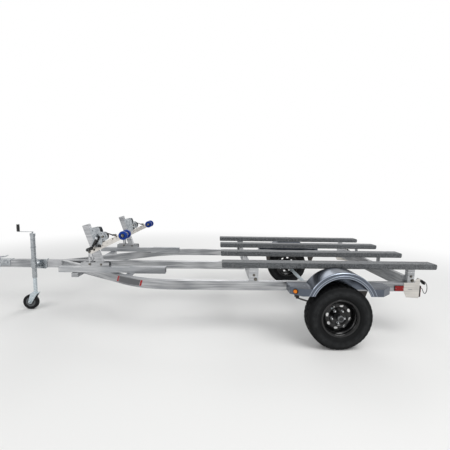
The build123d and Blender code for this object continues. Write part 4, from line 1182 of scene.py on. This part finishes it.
    def cap(self) -> None:
        """Dull steel ring round the hub's cap, with a dark rubber plug in its middle."""
        side, word, rim = self.side.value, self.side.word, self.cap_radius
        low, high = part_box(f"hub_{word}")
        centre = Vector((self.centre.x, high.y if side > 0 else low.y, self.centre.z))
        ring = lathe([(-0.030, rim), (-0.030, rim + 0.0022), (-0.026, rim + 0.0030), (-0.004, rim + 0.0022),
                      (0.0004, rim - 0.0010), (0.0012, rim - 0.0045), (0.0002, rim - 0.0080),
                      (-0.0004, rim - 0.0080)], 48, centre, side, ring=True)
        self.add(f"hub_cap_ring_{word}", [ring], CAP_STEEL, "hub_chrome")
        plug = lathe([(-0.0010, 0.0), (-0.0010, 0.0215), (0.0006, 0.0212), (0.0010, 0.0190),
                      (-0.0012, 0.0165), (-0.0012, 0.0070), (0.0010, 0.0050),
                      (0.0014, 0.0)], 32, centre, side)
        self.add(f"hub_cap_plug_{word}", [plug], BLACK_GRIP, "grip_black")

    def valve(self) -> None:
        """Snap-in rubber valve with its cap, through the rim's outer slope."""
        angle = math.radians(self.valve_angle)
        out = Vector((math.cos(angle) * -self.valve_lean, self.side.value,
                      math.sin(angle) * -self.valve_lean))
        out.normalize()
        foot = self.spot(self.valve_circle, angle, 0.046)
        # distance from the foot, radius, length, sides and rounding of the base, stem and cap
        table = ((0.0, 0.0085, 0.008, 20, 0.002), (0.016, 0.0055, 0.028, 20, 0.0012),
                 (0.033, 0.0048, 0.010, 14, 0.0010))
        made = [new_bar(foot + out * reach, radius, length, out, sides, bevel)
                for reach, radius, length, sides, bevel in table]
        self.add(f"valve_{self.side.word}", made, CASTER_RUBBER, "tyre_rubber")


@dataclass
class Lamps:
    """Tail lamps in black housings, side markers with their bases, and the ends of the leads."""

    lamp_width: float = 0.164
    housing_depth: float = 0.028
    bezel: float = 0.006
    lens_split: float = 0.78
    lens_gap: float = 0.004
    rib_count: int = 5
    rib_inset: float = 0.030
    screw_inset: float = 0.014
    fender_face: tuple[float, float, float] = (-0.5978, -0.8017, 0.0)
    lead_y: float = -0.897
    knot_line: tuple[float, float, float] = (0.62, -0.30, -0.72)
    knot_y: float = -0.900

    def build(self) -> None:
        """Makes the lamps of both sides."""
        self.tail_lamps()
        self.red_markers()
        self.amber_grommets()
        self.lead_ends()

    def tail_lamps(self) -> None:
        """Housing, two-part lens with ribs, and screws."""
        low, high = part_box("tail_lamps")
        y0, y1 = low.y, low.y + self.lamp_width
        front, rear = low.x + self.housing_depth, high.x
        housing = [new_block(low, (front, y1, high.z), 0.012, 5),
                   new_block((front - 0.004, y0 + 0.002, low.z + 0.002),
                             (front + 0.002, y1 - 0.002, high.z - 0.002), 0.0035, 3)]
        pair("tail_lamp_housing", housing, BLACK_GRIP, "grip_black", "tail_lamps", angle=35.0)
        split = low.z + (high.z - low.z) / 2 * self.lens_split
        inset = self.bezel
        lens = [new_block((front - 0.002, y0 + inset, split),
                          (rear - 0.001, y1 - inset, high.z - inset), 0.005, 4),
                new_block((front - 0.002, y0 + inset, low.z + inset),
                          (rear - 0.002, y1 - inset, split - self.lens_gap), 0.005, 4)]
        for index in range(self.rib_count):
            y = y0 + self.rib_inset + index * (self.lamp_width - 2 * self.rib_inset) / (self.rib_count - 1)
            lens.append(new_block((rear - 0.004, y - 0.0012, split + 0.012),
                                  (rear - 0.0001, y + 0.0012, high.z - 0.016), 0.0008))
        pair("tail_lamp_lens", lens, RED_LENS, "lens_red", angle=35.0)
        screws = [new_bar((rear - 0.0028, y, z), 0.0042, 0.005, Axis.X, 16, 0.0012)
                  for z in (high.z - self.screw_inset, low.z + self.screw_inset)
                  for y in (y0 + self.screw_inset, y1 - self.screw_inset)]
        pair("tail_lamp_screws", screws, ZINC_PLATE, "zinc_plate", angle=35.0)

    def red_markers(self) -> None:
        """Black base frame round each red side marker, and two screws."""
        low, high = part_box("marker_lamps_red")
        base = new_block((low.x - 0.002, low.y + 0.007, low.z - 0.002),
                         (high.x + 0.002, low.y + 0.012, high.z + 0.002), 0.002, 3)
        screws = [new_bar((x, low.y - 0.0005, (low.z + high.z) / 2), 0.0036, 0.003, Axis.Y, 16, 0.001)
                  for x in (low.x + 0.009, high.x - 0.009)]
        pair("marker_base", [base], BLACK_GRIP, "grip_black", angle=35.0)
        pair("marker_screws", screws, ZINC_PLATE, "zinc_plate", angle=35.0)

    def amber_grommets(self) -> None:
        """Rubber grommet round each amber lamp on the fender's slanted face."""
        low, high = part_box("marker_lamps_amber")
        normal = Vector(self.fender_face)
        lens_radius, half_lens = 0.019, 0.006
        middle = (low + high) / 2
        middle.y = low.y + lens_radius * abs(normal.x) + half_lens * abs(normal.y)
        ring = lathe([(-0.006, 0.0185), (-0.006, 0.0270), (-0.0035, 0.0282), (-0.0005, 0.0262), (0.0, 0.0225),
                      (-0.0010, 0.0185)], 40, ring=True)
        pair("amber_grommet", [aimed(ring, middle, normal)], CASTER_RUBBER, "tyre_rubber", angle=35.0)

    def lead_ends(self) -> None:
        """Boot and brass ferrule where each lead leaves the lamp plate's ear, and its taped splice."""
        low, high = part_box("lamp_leads")
        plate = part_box("lamp_plates")[1].x
        z = high.z - 0.0035
        boot = lathe([(0.0, 0.0042), (0.0, 0.0105), (0.006, 0.0112), (0.010, 0.0095), (0.014, 0.0098),
                      (0.018, 0.0082), (0.022, 0.0085), (0.026, 0.0068), (0.030, 0.0070), (0.034, 0.0048),
                      (0.034, 0.0036)], 24, ring=True)
        boot = aimed(boot, (plate + 0.0085, self.lead_y, z), ALONG_X)
        knot = lathe([(0.0, 0.0), (0.0, 0.0080), (0.004, 0.0135), (0.012, 0.0165), (0.022, 0.0158),
                      (0.032, 0.0170), (0.042, 0.0150), (0.052, 0.0110), (0.058, 0.0062), (0.060, 0.0)], 24)
        knot = aimed(knot, (low.x + 0.022, self.knot_y, high.z - 0.004), Vector(self.knot_line).normalized())
        pair("lead_boot", [boot, knot], CASTER_RUBBER, "grip_black")
        ferrule = lathe([(-0.005, 0.0042), (-0.005, 0.0085), (0.003, 0.0085), (0.006, 0.0070),
                         (0.010, 0.0055), (0.010, 0.0042)], 24, ring=True)
        pair("lead_ferrule", [aimed(ferrule, (plate, self.lead_y, z), ALONG_X)], BRASS, "zinc_plate")


@dataclass
class FrameHardware:
    """Bolts through the brackets, end plates and caps on the open tubes, U-bolt nuts, and the rails' film."""

    rail_face: float = 0.9145
    bracket_bolts_x: tuple[float, float] = (0.865, 2.6485)
    inner_bunk_y: float = 0.296
    spring_clamp: tuple[float, float, float] = (1.747, -0.889, 0.402)
    film_ends: tuple[float, float] = (-0.688, -0.412)
    bar_gap: float = 0.004
    bar_width: float = 0.024
    film_slant: float = 0.020
    film_thickness: float = 0.0003

    def build(self) -> None:
        """Makes each kind of hardware on both sides."""
        self.rail_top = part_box("rail_left")[1].z
        self.bracket_bolts()
        self.cross_bolts()
        self.end_plates()
        self.plugs()
        self.u_bolt_nuts()
        self.rail_film()

    def bracket_bolts(self) -> None:
        """Bolts in the outer brackets' lower holes and through their feet."""
        made = []
        bunk_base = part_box("bunk_outer_left")[0].z
        for x in self.bracket_bolts_x:
            made += hex_bolt((x, -self.rail_face, bunk_base - 0.090), Axis.Y, -1)
            low_nut = Vector((x + 0.018, -self.rail_face, self.rail_top + 0.024))
            made += hex_bolt(low_nut, Axis.Y, -1, 0.025)
            made.append(new_bar(low_nut + Vector((0, -0.0150, 0)), 0.0065, 0.006, Axis.Y, 20, 0.001))
            for step in (-0.026, 0.022):
                made += hex_bolt((x + step, 0.030 - self.rail_face, self.rail_top + 0.006), Axis.Z, 1)
        pair("outer_bracket_bolts", made, AGED_ZINC, "zinc_plate")

    def cross_bolts(self) -> None:
        """Bolts that hold the inner brackets to the cross-members' faces."""
        made = []
        for node, outward in (("crossmember_front", -1), ("crossmember_rear", 1)):
            low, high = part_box(node)
            face = low.x - 0.006 if outward < 0 else high.x + 0.006
            for across in (-0.022, 0.022):
                for rise in (0.066, 0.118):
                    made += hex_bolt((face, across - self.inner_bunk_y, low.z + rise), Axis.X, outward)
        pair("inner_bracket_bolts", made, ZINC_PLATE, "zinc_plate")

    def end_plates(self) -> None:
        """Plates welded over the cross-members' ends where they stand above the rails."""
        made = []
        for node in ("crossmember_front", "crossmember_rear"):
            low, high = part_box(node)
            made.append(new_block((low.x + 0.0005, low.y - 0.003, self.rail_top + 0.0004),
                                  (high.x - 0.0005, low.y, high.z - 0.0005), 0.001))
        pair("crossmember_end_plates", made, MILL_ALUMINIUM, "aluminium_mill", angle=None)

    def plugs(self) -> None:
        """Metal caps on the outriggers' outer ends, and black plugs in the winch beams' ends."""
        low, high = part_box("winch_beam_outriggers")
        cap = new_block((low.x + 0.0005, low.y - 0.0025, low.z + 0.0005),
                        (high.x - 0.0005, low.y, high.z - 0.0005), 0.001)
        pair("outrigger_cap", [cap], MILL_ALUMINIUM, "aluminium_mill", angle=None)
        low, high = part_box("winch_beam_left")
        plugs = [new_block((x0, low.y + 0.0045, low.z + 0.0045),
                           (x1, high.y - 0.0045, high.z - 0.0045), 0.004, 3)
                 for x0, x1 in ((low.x - 0.0025, low.x + 0.010), (high.x - 0.010, high.x + 0.0025))]
        pair("tube_plugs", plugs, BLACK_GRIP, "grip_black", angle=35.0)

    def u_bolt_nuts(self) -> None:
        """Nuts on the springs' clamp plates."""
        made = []
        for x in (-0.0308, 0.0308):
            for y in (-0.0278, 0.0278):
                made += hex_nut(Vector(self.spring_clamp) + Vector((x, y, 0)), Axis.Z, 1, 0.0092, 0.011)
        pair("spring_nuts", made, ZINC_PLATE, "zinc_plate")

    def rail_film(self) -> None:
        """Plain film on each rail's bend: a dark field between two red bars."""
        low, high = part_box("rail_left")
        z0, z1 = low.z + 0.018, high.z - 0.016
        start, end = self.film_ends
        near, far = self.bar_gap, self.bar_gap + self.bar_width
        parts = (("rail_film", start, end, SIGN_FILM, "grip_black"),
                 ("rail_bar_front", start - far, start - near, RED_FILM, "lens_red"),
                 ("rail_bar_rear", end + near, end + far, RED_FILM, "lens_red"))
        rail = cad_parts["rail_left"]
        for name, first, last, finish, slot in parts:
            clear_selection()
            bpy.ops.mesh.primitive_grid_add(x_subdivisions=24, y_subdivisions=4, size=1.0,
                                            rotation=(math.pi / 2, 0, 0))
            film = settle()
            for vertex in film.data.vertices:
                share = vertex.co.z + 0.5
                x = first + (vertex.co.x + 0.5) * (last - first) + self.film_slant * (share - 0.5)
                z = z0 + share * (z1 - z0)
                found, spot, _, _ = rail.ray_cast(Vector((x, -3.0, z)), Axis.Y.unit())
                vertex.co = Vector((x, (spot.y if found else -self.rail_face) - 0.0004, z))
            modify(film, "SOLIDIFY", thickness=self.film_thickness)
            pair(name, [film], finish, slot, angle=None)


@dataclass
class WinchTrim:
    """What the CAD winches and stands lack: wound strap, grips, nuts and bolts."""

    stand_y: float = 0.611
    drum: tuple[float, float] = (-0.8848, 1.0938)
    strap_start: float = -0.6375
    strap_width: float = 0.046
    strap_turns: int = 8
    crank_end: tuple[float, float] = (-0.9997, 0.9617)
    crank_shaft: tuple[float, float] = (-0.9399, 1.0790)
    grip_root: float = -0.6895
    grip_length: float = 0.112
    grip_ribs: int = 7
    arm_block_y: float = -0.6860
    bow_axle: tuple[float, float] = (-0.641, 1.114)
    # place along X, distance from the stand's middle, height and width across flats
    bolt_table: tuple[tuple[float, float, float, float], ...] = (
        (-1.045, 0.043, 0.7640, 0.017), (-0.915, 0.038, 0.7590, 0.017), (-1.045, 0.043, 0.9110, 0.017),
        (-0.991, 0.038, 0.9372, 0.017), (-0.771, 0.038, 1.068, 0.011), (-0.729, 0.038, 1.095, 0.011))

    def build(self) -> None:
        """Makes the trim of both winches."""
        self.strap()
        self.grip()
        self.bolts()
        self.keeper()
        for side in Side:
            self.roller_hubs(side)

    def strap(self) -> None:
        """Turns of webbing on the drum, whose edges show as steps."""
        x, z = self.drum
        half = self.strap_width / 2 - 0.0006
        profile = [(-half, 0.0225)]
        for turn in range(self.strap_turns):
            radius = 0.0240 + turn * 0.0026
            profile += [(0.0002 * (turn % 2) - half, radius),
                        (0.0010 + 0.0003 * (turn % 3) - half, radius + 0.0010)]
        profile += [(-half, 0.0438), (0.0010 - half, 0.0446), (0.0, 0.0441), (half - 0.0010, 0.0446),
                    (half, 0.0438), (half, 0.0225)]
        roll = lathe(profile, 64, Vector((x, self.strap_start + self.strap_width / 2, z)), ring=True)
        pair("strap_roll", [roll], STRAP_WEB, "strap_black")

    def grip(self) -> None:
        """Black moulded grip with ribs over the crank's own bar, a black block along its arm, and the shaft's
        nut.
        """
        x, z = self.crank_end
        end = -self.grip_length
        profile = [(0.0, 0.0167), (0.0, 0.0195), (-0.004, 0.0212), (-0.010, 0.0212), (-0.016, 0.0190)]
        for index in range(self.grip_ribs):
            start = -0.022 - index * 0.011
            profile += [(start, 0.0186), (start - 0.003, 0.0200), (start - 0.006, 0.0200),
                        (start - 0.009, 0.0186)]
        profile += [(end + 0.006, 0.0196), (end + 0.001, 0.0175), (end, 0.0120), (end, 0.0)]
        grip = lathe(profile, 32, Vector((x, self.grip_root, z)))
        arm_block = new_block((-0.0135, -0.0040, 0.022), (0.0135, 0.0040, 0.128), 0.0035, 3)
        shaft_x, shaft_z = self.crank_shaft
        lean = math.atan2(shaft_x - x, shaft_z - z)
        arm_block.data.transform(Matrix.Translation((x, self.arm_block_y, z)) @ Matrix.Rotation(lean, 4, "Y"))
        pair("crank_grip", [grip, arm_block], BLACK_GRIP, "grip_black")
        nut = [new_bar((shaft_x, -0.6985, shaft_z), 0.0125, 0.009, Axis.Y, 6, 0.001),
               new_bar((shaft_x, -0.6938, shaft_z), 0.0145, 0.002, Axis.Y, 28)]
        pair("crank_nut", nut, CHROME, "hub_chrome")

    def bolts(self) -> None:
        """Bolts of the stand's base, its struts and the bow arm, and the nuts of the drum's shaft."""
        made = []
        for out in (-1, 1):
            for x, reach, z, across in self.bolt_table:
                made += hex_bolt((x, out * reach - self.stand_y, z), Axis.Y, out, across)
            nut = (self.drum[0], out * 0.0515 - self.stand_y, self.drum[1])
            made.append(new_bar(nut, 0.0135, 0.010, Axis.Y, 6, 0.001))
        pair("stand_bolts", made, AGED_ZINC, "zinc_plate")

    def keeper(self) -> None:
        """Black strap keeper on the bow arm's outer cheek."""
        block = new_block((-0.944, -0.6590, 0.9660), (-0.908, -0.6492, 1.0000), 0.004, 3)
        knob = new_bar((-0.926, -0.6620, 0.983), 0.0095, 0.008, Axis.Y, 20, 0.002)
        pair("strap_keeper", [block, knob], BLACK_GRIP, "grip_black")

    def roller_hubs(self, side: Side) -> None:
        """Dark hub discs in the bow wheels' outer recesses, and nuts on their axle.

        Args:
            side: which pair of bow wheels.
        """
        low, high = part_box(f"bow_wheels_{side.word}")
        x, z = self.bow_axle
        discs, nuts = [], []
        for out, face in ((-1, low.y), (1, high.y)):
            discs.append(lathe([(-0.010, 0.0090), (-0.006, 0.0090), (-0.0045, 0.0180), (-0.0050, 0.0212),
                                (-0.010, 0.0216)], 32, Vector((x, face, z)), out, ring=True))
            nuts.append(new_bar((x, face + out * 0.0115, z), 0.0115, 0.008, Axis.Y, 6, 0.001))
        body = f"bow_wheels_{side.word}"
        piece(f"bow_wheel_hubs_{side.word}", discs, BLACK_GRIP, body, "grip_black")
        piece(f"bow_axle_nuts_{side.word}", nuts, AGED_ZINC, "chassis", "zinc_plate")


@dataclass
class JackAndCoupler:
    """Grip, nuts and wheel hub of the jack, and the coupler's bolts."""

    jack_x: float = -2.015
    jack_y: float = -0.145
    u_bolt_reach: float = 0.082
    u_bolt_heights: tuple[float, float] = (0.548, 0.660)
    mount_face: float = -0.046

    def build(self) -> None:
        """Makes the trim of the jack's bodies and the coupler's."""
        self.crank_grip()
        self.wheel_hub()
        self.mount_nuts()
        self.coupler_bolts()

    def crank_grip(self) -> None:
        """Black grip on the jack's crank, with its rings."""
        low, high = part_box("jack_crank")
        grip = lathe([(0.0, 0.0), (0.0, 0.0168), (0.003, 0.0185), (0.010, 0.0185), (0.016, 0.0170),
                      (0.030, 0.0178), (0.060, 0.0182), (0.080, 0.0172), (0.090, 0.0178),
                      (0.0955, 0.0150), (0.0962, 0.0)], 32)
        grip = aimed(grip, (low.x + 0.0160, self.jack_y, high.z - 0.096), ALONG_Z)
        piece("jack_crank_grip", [grip], BLACK_GRIP, "jack", "grip_black")

    def wheel_hub(self) -> None:
        """Grey hub with a raised ring and rim on each side of the jack's wheel, and the axle's nuts."""
        low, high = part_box("jack_wheel")
        centre = (low + high) / 2
        profile = [(0.012, 0.0225), (0.0145, 0.0225), (0.0165, 0.0240), (0.0165, 0.0300), (0.0152, 0.0330),
                   (0.0152, 0.0560), (0.0170, 0.0590), (0.0170, 0.0635), (0.0145, 0.0650), (0.012, 0.0650)]
        rings = [lathe(profile, 48, centre, out, ring=True) for out in (-1, 1)]
        piece("jack_wheel_hub", rings, GREY_NYLON, "jack_wheel", "grip_black")
        low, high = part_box("jack_leg")
        nuts = [new_bar((centre.x, y, centre.z), 0.0125, 0.009, Axis.Y, 6, 0.001)
                for y in (low.y - 0.0045, high.y + 0.0045)]
        piece("jack_axle_nuts", nuts, ZINC_PLATE, "jack_leg", "galvanised")

    def mount_nuts(self) -> None:
        """Nuts on the jack mount's U-bolts."""
        made = []
        for x in (self.jack_x - self.u_bolt_reach, self.jack_x + self.u_bolt_reach):
            for z in self.u_bolt_heights:
                made += hex_nut(Vector((x, self.mount_face, z)), Axis.Y, -1, 0.0090, 0.0105)
        piece("jack_mount_nuts", made, ZINC_PLATE, "chassis", "zinc_plate")

    def coupler_bolts(self) -> None:
        """Bolts through the coupler's sides and the tongue."""
        low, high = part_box("coupler")
        made = []
        for x in (high.x - 0.040, high.x - 0.150):
            for out in (-1, 1):
                made += hex_bolt((x, out * high.y, (low.z + high.z) / 2), Axis.Y, out)
        piece("coupler_bolts", made, ZINC_PLATE, "chassis", "zinc_plate")


def main() -> None:
    """Builds the studio and the trailer's sub-assemblies in order."""
    logging.basicConfig(level=logging.INFO, format="%(name)s %(message)s")
    Studio().build()
    CarriedNodes().build()
    Bunks().build()
    for side in Side:
        RoadWheel(side).build()
    Lamps().build()
    FrameHardware().build()
    WinchTrim().build()
    JackAndCoupler().build()


if __name__ == "__main__":
    main()
